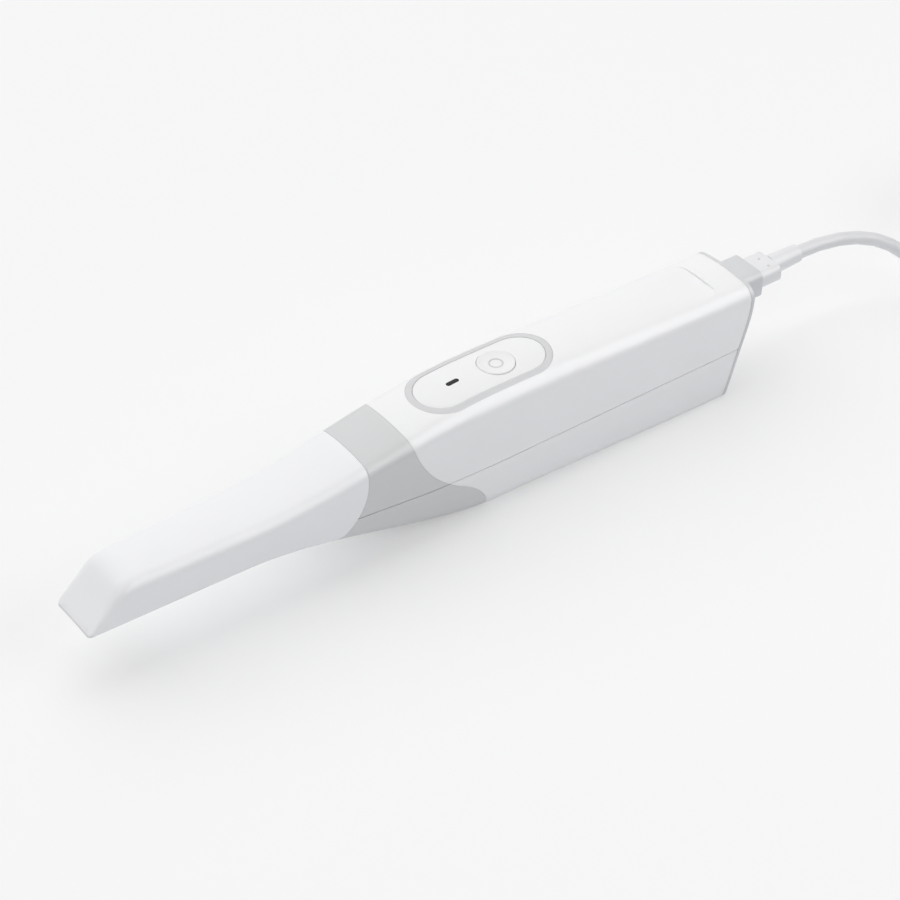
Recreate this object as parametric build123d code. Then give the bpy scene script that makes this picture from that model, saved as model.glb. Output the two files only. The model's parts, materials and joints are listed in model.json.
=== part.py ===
from build123d import *
import math
import os

os.makedirs("parts", exist_ok=True)

# Intraoral scanner: a hand-held wand with a pull-off tip, one scan button and a plug-in lead.
# Millimetres, +Z up. Stations run along the wand from the front of the tip (0) to the rear.
# Pieces are laid out with the station as X and moved to the shared frame when they are saved.
# Stations keep their share of the wand length; the rear end keeps its distance from the rear.

# Wand outline
wand_length = 252.0
stretch = wand_length / 252.0
tip_half_width = 9.7
body_half_width = 14.3
taper_end = 140.0 * stretch
tip_bottom = 18.4
tip_top = 32.7
body_top = 43.3
rear_drop = 3.0
rear_drop_start = 145.0 * stretch
swell_start = 54.0 * stretch
swell_end = 140.0 * stretch
belly_start = 52.0 * stretch
belly_end = 140.0 * stretch
foot_trim = 0.25
crown_radius = 55.0
rear_crown_radius = 65.0
tip_top_radius = 3.2
body_top_radius = 6.2
rear_top_radius = 5.0
rear_blend_start = 160.0 * stretch
tip_low_radius = 1.6
belly_low_radius = 7.5
rear_low_radius = 2.4
belly_peak = 128.0 * stretch
least_radius = 0.5
station_first = -2.0
station_step = 21.0 * stretch
station_count = 13

# Seams and clearances
seam = 0.2
tip_gap = 0.3
moving_gap = 0.3
fit_gap = 0.1
shell_wall = 1.8

# Tip sleeve and its mirror
tip_wall = 1.3
front_slant = 46.0
front_lip = 1.2
front_corner = 4.0
front_ease = 0.3
tip_edge = 93.3 * stretch
tip_arc_top = 31.5
tip_arc_radius = 18.5
tip_arc_turn = 66.0
window_start = 3.2
window_length = 15.0
window_width = 13.6
mirror_width = 13.2
mirror_length = 12.4
mirror_thickness = 1.0
mirror_middle = 9.4

# Collar, shells and rear end
collar_stations = [108.5, 111.2, 116.6, 123.5, 130.6, 135.0, 136.8]
collar_heights = [42.0, 31.5, 22.7, 16.6, 12.2, 7.0, 0.0]
collar_edge = [(x * stretch, z) for x, z in zip(collar_stations, collar_heights)]
collar_end_lean = 0.15
parting_front = (40.0 * stretch, 23.9)
parting_knee = (116.0 * stretch, 17.6)
parting_radius = 220.0
rear_foot = (wand_length - 21.6, -3.0)
rear_knee = (wand_length - 11.1, 31.0)
rear_radius = 36.0
cover_thickness = 1.3
spigot_depth = 3.0
spigot_wall = 1.2
lip_wall = 1.0
lip_height = 2.0
lip_start = 138.0 * stretch
lip_end = wand_length - 20.5
scoop_rear = wand_length - 21.2
scoop_half_width = 9.5
scoop_corner = 4.5
scoop_depth = 0.8
scoop_length = 30.0

# Control panel
panel_front = 128.8 * stretch
panel_rear = 157.6 * stretch
ring_outer = 10.9
ring_inner = 8.75
ring_depth = 1.2
panel_sink = 0.1
panel_depth = 3.2
panel_flange = 10.3
button_station = 149.4 * stretch
button_radius = 6.0
button_dish = 0.35
button_flange = 7.3
button_stroke = 0.8
mark_radius = 2.4
mark_width = 0.45
mark_depth = 0.3
dash_station = 133.0 * stretch
dash_length = 4.8
dash_width = 1.5
indicator_led_size = (2.0, 1.2)
flange_thickness = 0.8
button_edge = 0.5
post_radius = 1.3
post_inset = 4.0
post_spacing = 5.0
hair_gap = 0.02

# Lead and its plugs
port_width = 14.6
port_height = 10.0
port_centre = 32.2
port_corner = 2.5
socket_width = 9.8
socket_height = 4.1
socket_wall = 0.35
socket_start = wand_length - 11.3
socket_back = 1.0
socket_roundness = 2.1
tongue_thickness = 0.7
tongue_corner = 0.2
tongue_setback = 1.2
socket_board_length = 16.0
socket_board_width = 13.0
plug_metal_width = 8.4
plug_metal_height = 2.6
plug_metal_wall = 0.35
plug_metal_reach = 6.2
plug_width = 12.2
plug_height = 6.2
plug_length = 9.0
plug_corner = 2.2
relief_length = 12.0
relief_radius_front = 3.5
relief_radius_rear = 3.1
lead_diameter = 4.6
lead_pitch = 5.1
hank_layers = 7
hank_radius = 13.8
hank_length = 72.0
lead_run = 93.0
lead_straight = 30.7
lead_landing = 22.0
tail_steps = (20.0, 52.0, 70.0)
tail_side = 7.5
bend_share = 0.45
tie_width = 8.0
tie_thickness = 0.8
host_plug_size = (22.0, 15.6, 8.0)
host_shell_size = (14.0, 12.0, 4.5)
host_shell_wall = 0.4
host_relief_length = 8.0
host_relief_size = (6.9, 6.4)
host_corner = 2.0
host_shell_corner = 0.5

# Optics and electronics
nose_inset = 1.9
nose_wall = 1.5
nose_front = 52.0 * stretch
nose_rear = 114.0 * stretch
glass_thickness = 1.5
grip_station = 70.0 * stretch
grip_width = 3.0
chassis_front = 134.0 * stretch
chassis_rear = 178.0 * stretch
chassis_half_width = 9.5
chassis_floor = 5.0
chassis_plate = 2.0
chassis_wall = 3.5
chassis_front_top = 32.5
board_level = 20.0
barrel_radius = 4.5
barrel_bore = 3.7
barrel_start = 116.0 * stretch
barrel_length = 30.0 * stretch
camera_level = 26.5
projector_level = 16.0
lens_length = 2.6
lens_setback = 1.0
optics_board_width = 18.0
optics_board_height = 11.0
board_thickness = 1.2
board_gap = 0.6
sensor_share = 0.66
led_share = 0.45
chip_thickness = 0.8
sink_length = 14.0
sink_width = 16.0
sink_fins = 4
fin_gap = 2.0
sink_back = 3.0
sink_base = 2.0
main_board_length = 68.0 * stretch
main_board_width = 20.0
processor_share = 0.27
processor_half = 7.0
processor_height = 1.6
can_share = 0.66
can_half = 8.0
can_height = 3.0
main_board_end = wand_length - 21.3
main_board_start = main_board_end - main_board_length
button_board_level = 33.5
button_board_width = 15.0
button_board_start = 122.0 * stretch
button_board_end = 166.0 * stretch
switch_size = 6.0
switch_height = 2.0
plunger_radius = 1.6
plunger_height = 0.5
screw_radius = 1.0
screw_head_radius = 1.9
screw_head_height = 1.3
boss_radius = 2.5
boss_margin = 1.0
screw_relief = 0.4

far = 80.0
mid_x = wand_length / 2


def ease(t):
    t = min(max(t, 0.0), 1.0)
    return t * t * (3.0 - 2.0 * t)


def blend(station, start, end, first, last):
    return first + (last - first) * ease((station - start) / (end - start))


def half_width(station):
    share = min(max(station / taper_end, 0.0), 1.0)
    return tip_half_width + (body_half_width - tip_half_width) * share


def bottom_line(station):
    return blend(station, belly_start, belly_end, tip_bottom, -foot_trim)


def top_line(station):
    swell = blend(station, swell_start, swell_end, tip_top, body_top)
    return swell - blend(station, rear_drop_start, rear_knee[0], 0.0, rear_drop)


def top_radius(station):
    if station < rear_blend_start:
        return blend(station, tip_edge, swell_end, tip_top_radius, body_top_radius)
    return blend(station, rear_blend_start, rear_knee[0], body_top_radius, rear_top_radius)


def crown_at(station):
    return blend(station, rear_blend_start, rear_knee[0], crown_radius, rear_crown_radius)


def low_radius(station):
    if station < belly_peak:
        return blend(station, swell_start, belly_peak, tip_low_radius, belly_low_radius)
    return blend(station, belly_peak, rear_knee[0], belly_low_radius, rear_low_radius)


def section(station, inset):
    """Cross-section of the wand: flat sides, crowned top, rounded edges, all drawn in by the inset."""
    width = half_width(station) - inset
    low = bottom_line(station) + inset
    high = top_line(station) - inset
    crown = crown_at(station) - inset
    upper = max(top_radius(station) - inset, least_radius)
    lower = max(low_radius(station) - inset, least_radius)
    hub = high - crown
    lean = math.asin((width - upper) / (crown - upper))
    corner = hub + (crown - upper) * math.cos(lean)
    half_turn = (lean + math.pi / 2) / 2
    side_top = (width, corner)
    bend_top = (width - upper + upper * math.sin(half_turn), corner + upper * math.cos(half_turn))
    crown_end = (crown * math.sin(lean), hub + crown * math.cos(lean))
    side_low = (width, low + lower)
    cut_back = lower * (1 - math.sqrt(0.5))
    bend_low = (width - cut_back, low + cut_back)
    foot = (width - lower, low)

    def right(p):
        return (station, p[0], p[1])

    def left(p):
        return (station, -p[0], p[1])

    edges = [
        Line(right(side_low), right(side_top)),
        ThreePointArc(right(side_top), right(bend_top), right(crown_end)),
        ThreePointArc(right(crown_end), (station, 0, high), left(crown_end)),
        ThreePointArc(left(crown_end), left(bend_top), left(side_top)),
        Line(left(side_top), left(side_low)),
        ThreePointArc(left(side_low), left(bend_low), left(foot)),
        Line(left(foot), right(foot)),
        ThreePointArc(right(foot), right(bend_low), right(side_low)),
    ]
    return Face(Wire(edges))


def form(inset):
    """The whole wand outline as one smooth body, drawn in by the inset."""
    stations = [station_first + station_step * i for i in range(station_count)]
    return loft([section(s, inset) for s in stations])


def prism(edges):
    """A side-view outline carried right through the wand."""
    return extrude(Face(Wire(edges)), amount=far, dir=(0, 1, 0), both=True)


def side(x, z):
    return (x, 0, z)


def behind(edges, top, end):
    """Everything to the rear of a side-view line that runs from its top down to its end."""
    back = wand_length + far
    corners = [(end[0], -far), (back, -far), (back, far), (top[0], far)]
    closing = Polyline(side(*end), *[side(*c) for c in corners], side(*top))
    return prism(list(edges) + list(closing.edges()))


def plate(x0, x1, y0, y1, z0, z1):
    """A box given by its limits."""
    return Pos((x0 + x1) / 2, (y0 + y1) / 2, (z0 + z1) / 2) * Box(x1 - x0, y1 - y0, z1 - z0)


def upright(x, y, z0, z1, radius):
    return Pos(x, y, (z0 + z1) / 2) * Cylinder(radius, z1 - z0)


def lengthwise(x0, x1, y, z, radius):
    return Pos((x0 + x1) / 2, y, z) * Rot(0, 90, 0) * Cylinder(radius, x1 - x0)


def racetrack(radius, z0, z1):
    """A slot-shaped block over the control panel."""
    middle = (panel_front + panel_rear) / 2
    outline = SlotCenterToCenter(panel_rear - panel_front, 2 * radius)
    return extrude(Pos(middle, 0, z0) * outline, amount=z1 - z0)


def flat_slot(x0, x1, y, z, width, height, corner):
    """A rounded rectangular bar along the wand."""
    outline = Plane.YZ * RectangleRounded(width, height, corner)
    return extrude(Pos(x0, y, z) * outline, amount=x1 - x0)


def screw(x, y, seat, depth):
    head = upright(x, y, seat, seat + screw_head_height, screw_head_radius)
    return head + upright(x, y, seat - depth, seat + screw_head_height / 2, screw_radius)


def save(name, shape, moved=True):
    if moved:
        shape = Pos(-mid_x, 0, 0) * shape
    export_step(shape, f"parts/{name}.step")


# Outline bodies and the side-view lines that divide them
outer = form(0.0)
tip_inside = form(tip_wall)
cavity = form(shell_wall)
above_floor = plate(-far, wand_length + far, -far, far, 0, far)

turn = math.radians(tip_arc_turn)
tip_hub_x = tip_edge - tip_arc_radius


def on_tip_arc(angle):
    return (tip_hub_x + tip_arc_radius * math.cos(angle), tip_arc_top - tip_arc_radius * math.sin(angle))


tip_arc_end = on_tip_arc(turn)
tip_arc = ThreePointArc(side(tip_edge, tip_arc_top), side(*on_tip_arc(turn / 2)), side(*tip_arc_end))
tip_runout = (tip_arc_end[0] - tip_arc_end[1] * math.tan(turn), 0.0)
tip_line = [tip_arc, Line(side(*tip_arc_end), side(*tip_runout))]
behind_tip = behind(tip_line, (tip_edge, tip_arc_top), tip_runout)

collar_line = Spline(*[side(*p) for p in collar_edge], tangents=[(0, 0, -1), (collar_end_lean, 0, -1)])
behind_collar = behind([collar_line], collar_edge[0], collar_edge[-1])

rear_top = (rear_knee[0], far / 2 + body_top / 2)
rear_line = FilletPolyline(side(*rear_top), side(*rear_knee), side(*rear_foot), radius=rear_radius)
behind_rear = behind(rear_line.edges(), rear_top, rear_foot)

parting_rear = (wand_length + far, parting_knee[1])
parting_spots = [side(*parting_front), side(*parting_knee), side(*parting_rear)]
parting_line = FilletPolyline(*parting_spots, radius=parting_radius)
parting_tops = [side(parting_rear[0], far), side(parting_front[0], far)]
parting_close = Polyline(side(*parting_rear), *parting_tops, side(*parting_front))
above_parting = prism(list(parting_line.edges()) + list(parting_close.edges()))

# Tip sleeve: slanted front, rounded front corners, window below, open at the rear
slant = math.radians(front_slant)
slant_foot = tip_bottom + front_lip
slant_rise = far * math.tan(slant)
front_edges = Polyline(
    side(0, -far),
    side(0, slant_foot),
    side(far, slant_foot + slant_rise),
    side(wand_length + far, slant_foot + slant_rise),
    side(wand_length + far, -far),
    side(0, -far),
)
behind_front = prism(front_edges.edges())
plan_width = 2 * (tip_half_width + front_ease)
plan = Pos(wand_length / 2, 0, 0) * RectangleRounded(wand_length, plan_width, front_corner)
plan_front = extrude(plan, amount=far) & plate(0, front_corner * 2, -far, far, 0, far)
plan_front = plan_front + plate(front_corner * 2, wand_length, -far, far, 0, far)
tip_body = (outer & behind_front & plan_front) - behind_tip
slant_shift = tip_wall / math.sin(slant)
tip_hollow = tip_inside & (Pos(slant_shift, 0, 0) * behind_front)
window_half = window_width / 2
window_top = tip_bottom + tip_wall * 2
tip_window = plate(window_start, window_start + window_length, -window_half, window_half, 0, window_top)
tip_sleeve = tip_body - tip_hollow - tip_window
save("tip_sleeve", tip_sleeve)

mirror_inset = tip_wall + fit_gap + mirror_thickness / 2
mirror_x = mirror_middle * math.cos(slant) + mirror_inset * math.sin(slant)
mirror_z = slant_foot + mirror_middle * math.sin(slant) - mirror_inset * math.cos(slant)
mirror_place = Pos(mirror_x, 0, mirror_z) * Rot(0, -front_slant, 0)
tip_mirror = mirror_place * Box(mirror_length, mirror_width, mirror_thickness)
save("tip_mirror", tip_mirror)

# Collar between the tip and the shells, in two halves
upper_side = Pos(0, 0, seam / 2) * above_parting
lower_cut = Pos(0, 0, -seam / 2) * above_parting
collar = (outer & (Pos(tip_gap, 0, 0) * behind_tip)) - behind_collar - cavity
collar = collar & above_floor
save("collar_upper", collar & upper_side)
save("collar_lower", collar - lower_cut)

# Shells
shell = (outer & (Pos(seam, 0, 0) * behind_collar) & above_floor) - behind_rear - cavity
panel_high = body_top + far / 4
ring_floor = form(ring_depth)
ring_pocket = racetrack(ring_outer + fit_gap / 2, body_top / 2, panel_high) - ring_floor
panel_hole = racetrack(ring_inner, body_top / 2, panel_high)
scoop_plan = RectangleRounded(scoop_length, 2 * scoop_half_width, scoop_corner)
scoop_middle = scoop_rear - scoop_length / 2
scoop_floor = top_line(scoop_rear) - scoop_depth
scoop_rise = top_line(scoop_rear - scoop_length) - scoop_floor
scoop_tilt = math.degrees(math.atan(scoop_rise / scoop_length))
scoop_block = extrude(Pos(scoop_middle, 0, body_top / 2) * scoop_plan, amount=far)
scoop_plane = Pos(scoop_rear, 0, scoop_floor) * Rot(0, scoop_tilt, 0)
scoop_above = scoop_plane * Pos(0, 0, far / 2) * Box(far * 2, far, far)
upper_shell = (shell & upper_side) - ring_pocket - panel_hole - (scoop_block & scoop_above)
save("upper_shell", upper_shell)

board_boss_x = main_board_end - 2 * boss_radius
chassis_screw_x = [chassis_front + chassis_wall + boss_radius, chassis_rear - chassis_wall - 2 * boss_radius]
chassis_screw_y = chassis_half_width - boss_radius - boss_margin
chassis_spots = [(x, y) for x in chassis_screw_x for y in (-chassis_screw_y, chassis_screw_y)]
lip = form(shell_wall + fit_gap) - form(shell_wall + fit_gap + lip_wall)
lip_band = (Pos(0, 0, -lip_height) * above_parting) - (Pos(0, 0, lip_height) * above_parting)
lip = lip & lip_band & plate(lip_start, lip_end, -far, far, 0, far)
lip_foot = (cavity - form(shell_wall + fit_gap + lip_wall)) & lip_band
lip_foot = lip_foot & plate(lip_start, lip_end, -far, far, 0, far)
lower_shell = (shell - lower_cut) + lip + (lip_foot - lower_cut)
for x, y in chassis_spots:
    lower_shell = lower_shell + upright(x, y, shell_wall / 2, chassis_floor, boss_radius)
lower_shell = lower_shell + upright(board_boss_x, 0, shell_wall / 2, board_level, boss_radius)
for x, y in chassis_spots:
    lower_shell = lower_shell - upright(x, y, shell_wall, chassis_floor, screw_radius)
lower_shell = lower_shell - upright(board_boss_x, 0, board_level / 2, board_level, screw_radius)
save("lower_shell", lower_shell)

# Rear cover with its spigot, port block and socket
cover_back = Pos(cover_thickness, 0, 0) * behind_rear
rear_cover = (outer & (Pos(fit_gap, 0, 0) * behind_rear) & above_floor) - cover_back
spigot = form(shell_wall + fit_gap) - form(shell_wall + fit_gap + spigot_wall)
spigot = (spigot & (Pos(-spigot_depth, 0, 0) * behind_rear)) - cover_back
port_round = socket_height / socket_roundness
port_hole = flat_slot(rear_foot[0], wand_length, 0, port_centre, socket_width, socket_height, port_round)
rear_cover = rear_cover + spigot - port_hole
save("rear_cover", rear_cover)

port_bar = flat_slot(rear_foot[0], wand_length, 0, port_centre, port_width, port_height, port_corner)
port_front = Pos(cover_thickness + fit_gap / 2, 0, 0) * behind_rear
port_block = (port_bar & port_front) - port_hole
save("port_block", port_block)

socket_outer = (socket_width - fit_gap, socket_height - fit_gap)
socket_inner = (socket_outer[0] - 2 * socket_wall, socket_outer[1] - 2 * socket_wall)
socket_end = wand_length - fit_gap
outer_round = socket_outer[1] / socket_roundness
usb_socket = flat_slot(socket_start, socket_end, 0, port_centre, *socket_outer, outer_round)
socket_floor = socket_start + socket_back
socket_round = socket_inner[1] / socket_roundness
usb_socket = usb_socket - flat_slot(socket_floor, wand_length, 0, port_centre, *socket_inner, socket_round)
save("usb_socket", usb_socket)
tongue_width = plug_metal_width - 2 * plug_metal_wall - 2 * moving_gap
tongue_end = wand_length - tongue_setback
tongue_size = (tongue_width, tongue_thickness, tongue_corner)
socket_tongue = flat_slot(socket_floor, tongue_end, 0, port_centre, *tongue_size)
save("socket_tongue", socket_tongue)
socket_half = socket_board_width / 2
socket_low = port_centre - board_thickness / 2
socket_board_start = socket_start - socket_board_length
socket_top = socket_low + board_thickness
socket_board = plate(
    socket_board_start, socket_start - fit_gap, -socket_half, socket_half, socket_low, socket_top
)
save("socket_board", socket_board)

# Control panel: ring, plate, indicator window, button
panel_ring = (outer & racetrack(ring_outer, body_top / 2, panel_high)) - ring_floor
panel_ring = panel_ring - racetrack(ring_inner, body_top / 2, panel_high)
save("panel_ring", panel_ring)

panel_skin = form(panel_sink)
panel_under = form(panel_depth)
panel_step = form(shell_wall + fit_gap)
panel_plug = (panel_skin & racetrack(ring_inner - fit_gap, body_top / 2, panel_high)) - panel_under
panel_lip = (panel_step & racetrack(panel_flange, body_top / 2, panel_high)) - panel_under
button_hole = upright(button_station, 0, body_top / 2, panel_high, button_radius + moving_gap)
dash_front = dash_station - dash_length / 2
dash_half = dash_width / 2
dash_hole = plate(dash_front, dash_front + dash_length, -dash_half, dash_half, body_top / 2, panel_high)
panel_plate = panel_plug + panel_lip
board_top = button_board_level + board_thickness
post_top = body_top - shell_wall - post_radius
post_rows = (button_board_start + post_inset, button_board_end - post_inset)
post_spots = [(x, y) for x in post_rows for y in (-post_spacing, post_spacing)]
for x, y in post_spots:
    panel_plate = panel_plate + (upright(x, y, board_top, post_top, post_radius) & panel_step)
panel_plate = panel_plate - button_hole - dash_hole
save("panel_plate", panel_plate)

dash_low = board_top + chip_thickness + fit_gap
lens_front = dash_front + fit_gap
lens_rear = dash_front + dash_length - fit_gap
lens_half = dash_half - fit_gap
indicator_window = plate(lens_front, lens_rear, -lens_half, lens_half, dash_low, panel_high)
indicator_window = indicator_window & panel_skin
save("indicator_window", indicator_window)

button_top = top_line(button_station)
plate_under = top_line(button_station) - panel_depth
crown_fall = crown_radius - math.sqrt(crown_radius ** 2 - button_flange ** 2)
flange_top = plate_under - crown_fall - moving_gap
flange_low = flange_top - flange_thickness
switch_top = board_top + switch_height + plunger_height
stem_low = switch_top + moving_gap + button_stroke
scan_button = upright(button_station, 0, flange_low, button_top, button_radius)
scan_button = fillet(scan_button.edges().sort_by(Axis.Z)[-1], button_edge)
dish_radius = (button_radius ** 2 + button_dish ** 2) / (2 * button_dish)
dish_level = button_top + dish_radius - button_dish
scan_button = scan_button - Pos(button_station, 0, dish_level) * Sphere(dish_radius)
scan_button = scan_button + upright(button_station, 0, flange_low, flange_top, button_flange)
scan_button = scan_button + upright(button_station, 0, stem_low, flange_low + fit_gap, plunger_radius)
mark_top = button_top - button_dish + mark_radius ** 2 / (2 * dish_radius)
mark_ring = upright(button_station, 0, mark_top - mark_depth, far, mark_radius)
mark_ring = mark_ring - upright(button_station, 0, 0, far, mark_radius - mark_width)
scan_button = scan_button - mark_ring
button_mark = upright(button_station, 0, mark_top - mark_depth, mark_top - hair_gap, mark_radius)
button_mark = button_mark - upright(button_station, 0, 0, far, mark_radius - mark_width)
save("scan_button", scan_button)
save("button_mark", button_mark)

# Nose that the tip slides over, its window and its grip ring
nose_zone = plate(nose_front, nose_rear, -far, far, 0, far)
nose_tube = (form(nose_inset) - form(nose_inset + nose_wall)) & nose_zone
grip_zone = plate(grip_station, grip_station + grip_width, -far, far, 0, far)
groove_zone = plate(grip_station - fit_gap / 2, grip_station + grip_width + fit_gap / 2, -far, far, 0, far)
groove_floor = form(nose_inset + nose_wall / 2)
nose_tube = nose_tube - ((form(nose_inset - fit_gap) - groove_floor) & groove_zone)
save("nose_tube", nose_tube)
grip_ring = (form(tip_wall + moving_gap) - form(nose_inset + nose_wall / 2 - hair_gap)) & grip_zone
save("grip_ring", grip_ring)
nose_glass = form(nose_inset + nose_wall + fit_gap / 2)
nose_glass = nose_glass & plate(nose_front, nose_front + glass_thickness, -far, far, 0, far)
save("nose_window", nose_glass)

# Optics: chassis, camera and projector barrels, lenses, boards, heat sink
chassis_deck = chassis_floor + chassis_plate
half = chassis_half_width
chassis = plate(chassis_front, chassis_rear, -half, half, chassis_floor, chassis_deck)
chassis = chassis + plate(
    chassis_front, chassis_front + chassis_wall, -half, half, chassis_floor, chassis_front_top
)
chassis = chassis + plate(chassis_rear - chassis_wall, chassis_rear, -half, half, chassis_floor, board_level)
barrel_end = barrel_start + barrel_length
for level in (camera_level, projector_level):
    chassis = chassis - lengthwise(barrel_start, barrel_end, 0, level, barrel_radius + fit_gap / 2)
for x, y in chassis_spots:
    chassis = chassis - upright(x, y, 0, chassis_deck, screw_radius + fit_gap)
rear_wall_x = chassis_rear - chassis_wall / 2
chassis = chassis - upright(rear_wall_x, 0, board_level / 2, board_level, screw_radius)
save("optics_chassis", chassis)


def barrel(level):
    tube = lengthwise(barrel_start, barrel_end, 0, level, barrel_radius)
    return tube - lengthwise(barrel_start, barrel_end, 0, level, barrel_bore)


save("camera_barrel", barrel(camera_level))
save("projector_barrel", barrel(projector_level))

lens_spots = [barrel_start + lens_setback, barrel_start + barrel_length / 2]
lenses = []
for level in (camera_level, projector_level):
    for x in lens_spots:
        lenses.append(Pos(-mid_x, 0, 0) * lengthwise(x, x + lens_length, 0, level, barrel_bore - fit_gap / 4))
save("lenses", Compound(children=lenses), moved=False)

board_x = barrel_end + fit_gap
board_rear = board_x + board_thickness
board_half = optics_board_width / 2
camera_low = camera_level - barrel_radius - board_gap
camera_top = camera_low + optics_board_height
camera_board = plate(board_x, board_rear, -board_half, board_half, camera_low, camera_top)
save("camera_board", camera_board)
projector_low = chassis_deck + fit_gap
projector_board = plate(board_x, board_rear, -board_half, board_half, projector_low, camera_low - board_gap)
save("projector_board", projector_board)
sensor_half = barrel_bore * sensor_share
sensor_x = board_x - chip_thickness
sensor_low = camera_level - sensor_half
image_sensor = plate(sensor_x, board_x, -sensor_half, sensor_half, sensor_low, camera_level + sensor_half)
save("image_sensor", image_sensor)
led_half = barrel_bore * led_share
led_low = projector_level - led_half
projector_led = plate(sensor_x, board_x, -led_half, led_half, led_low, projector_level + led_half)
save("projector_led", projector_led)

sink_x = board_rear + fit_gap
sink_rear = sink_x + sink_length
sink_top = board_level - moving_gap
heat_sink = plate(sink_x, sink_rear, -sink_width / 2, sink_width / 2, chassis_deck, sink_top)
fin_pitch = sink_width / sink_fins
sink_floor = chassis_deck + sink_base
for i in range(sink_fins - 1):
    gap_middle = -sink_width / 2 + fin_pitch * (i + 1)
    gap_low = gap_middle - fin_gap / 2
    heat_sink = heat_sink - plate(sink_x + sink_back, sink_rear, gap_low, gap_low + fin_gap, sink_floor, far)
save("heat_sink", heat_sink)

# Main board, button board and what they carry
main_low = board_level + fit_gap / 2
main_top = main_low + board_thickness
main_half = main_board_width / 2
main_board = plate(main_board_start, main_board_end, -main_half, main_half, main_low, main_top)
board_spots = [rear_wall_x, board_boss_x]
for x in board_spots:
    main_board = main_board - upright(x, 0, 0, far, screw_radius + fit_gap)
save("main_board", main_board)
chip_low = main_top + hair_gap
board_span = board_boss_x - rear_wall_x
processor_x = rear_wall_x + board_span * processor_share
chip = processor_half
processor = plate(processor_x - chip, processor_x + chip, -chip, chip, chip_low, main_top + processor_height)
save("processor", processor)
can_x = rear_wall_x + board_span * can_share
shield_can = plate(can_x - can_half, can_x + can_half, -can_half, can_half, chip_low, main_top + can_height)
save("shield_can", shield_can)

button_half = button_board_width / 2
button_board = plate(
    button_board_start, button_board_end, -button_half, button_half, button_board_level, board_top - hair_gap
)
save("button_board", button_board)
half_switch = switch_size / 2
switch_x = button_station - half_switch
tact_switch = plate(
    switch_x, switch_x + switch_size, -half_switch, half_switch, board_top, board_top + switch_height
)
tact_switch = tact_switch + upright(button_station, 0, board_top, switch_top, plunger_radius)
save("tact_switch", tact_switch)
led_x = dash_station - indicator_led_size[0] / 2
led_y = indicator_led_size[1] / 2
led_top = board_top + chip_thickness
indicator_led = plate(led_x, led_x + indicator_led_size[0], -led_y, led_y, board_top, led_top)
save("indicator_led", indicator_led)

screw_depth = chassis_deck - shell_wall - screw_relief
screws = [screw(x, y, chassis_deck, screw_depth) for x, y in chassis_spots]
screws += [screw(x, 0, main_top, board_level / 3) for x in board_spots]
save("housing_screws", Compound(children=[Pos(-mid_x, 0, 0) * s for s in screws]), moved=False)

# Lead: plug, strain relief, cable, coil, tie and far plug
plug_start = wand_length + moving_gap
relief_start = plug_start + plug_length
relief_end = relief_start + relief_length
cable_plug = flat_slot(plug_start, relief_start, 0, port_centre, plug_width, plug_height, plug_corner)
relief_circles = [
    Pos(relief_start, 0, port_centre) * (Plane.YZ * Circle(relief_radius_front)),
    Pos(relief_end, 0, port_centre) * (Plane.YZ * Circle(relief_radius_rear)),
]
cable_plug = cable_plug + loft(relief_circles)
save("cable_plug", cable_plug)
plug_outer = (plug_metal_width, plug_metal_height)
plug_inner = (plug_metal_width - 2 * plug_metal_wall, plug_metal_height - 2 * plug_metal_wall)
metal_start = plug_start - plug_metal_reach
plug_shell = flat_slot(metal_start, plug_start, 0, port_centre, *plug_outer, plug_outer[1] / socket_roundness)
plug_round = plug_inner[1] / socket_roundness
plug_shell = plug_shell - flat_slot(metal_start, plug_start, 0, port_centre, *plug_inner, plug_round)
save("plug_shell", plug_shell)

lead_start = relief_end - mid_x
layer_low = tie_thickness + fit_gap + lead_diameter / 2
layer_high = layer_low + lead_pitch * (hank_layers - 1)
hank_low = layer_low - lead_diameter / 2
hank_high = layer_high + lead_diameter / 2
hank_middle = (hank_low + hank_high) / 2
hank_front = lead_start + lead_run
hank_rear = hank_front + hank_length
hank_size = (lead_diameter, hank_high - hank_low, lead_diameter / 2 - hair_gap)


def hank_face(x, y):
    return Pos(x, y, hank_middle) * (Plane.YZ * RectangleRounded(*hank_size))


cable_coil = revolve(
    hank_face(hank_rear, -hank_radius), axis=Axis((hank_rear, 0, 0), (0, 0, 1)), revolution_arc=180
)
cable_coil = cable_coil + revolve(
    hank_face(hank_front, hank_radius), axis=Axis((hank_front, 0, 0), (0, 0, 1)), revolution_arc=180
)
for y in (-hank_radius, hank_radius):
    cable_coil = cable_coil + flat_slot(hank_front, hank_rear, y, hank_middle, *hank_size)
save("cable_coil", cable_coil, moved=False)

hank_reach = math.sqrt((hank_radius + lead_diameter + fit_gap) ** 2 - hank_radius ** 2)
lead_end = hank_front - hank_reach
lead_points = [
    (lead_start, 0, port_centre),
    (lead_start + lead_straight, 0, port_centre),
    (lead_end - lead_landing, -hank_radius, layer_low),
    (lead_end, -hank_radius, layer_low),
]


def bend_radii(points):
    radii = []
    for a, b, c in zip(points, points[1:], points[2:]):
        first = [q - p for p, q in zip(a, b)]
        second = [q - p for p, q in zip(b, c)]
        dot = sum(p * q for p, q in zip(first, second))
        angle = math.acos(dot / (math.hypot(*first) * math.hypot(*second)))
        radii.append(bend_share * min(math.hypot(*first), math.hypot(*second)) / math.tan(angle / 2))
    return radii


def tube(points):
    radii = bend_radii(points)
    print("bend radii", [round(r, 1) for r in radii])
    path = FilletPolyline(*points, radius=radii)
    start = Plane(origin=points[0], z_dir=path % 0)
    solid = sweep(start * Circle(lead_diameter / 2), path=path)
    expected = math.pi * lead_diameter ** 2 / 4 * path.length
    print("volume", round(solid.volume, 1), "expected", round(expected, 1))
    return solid


cable = tube(lead_points)
save("cable", cable, moved=False)

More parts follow.
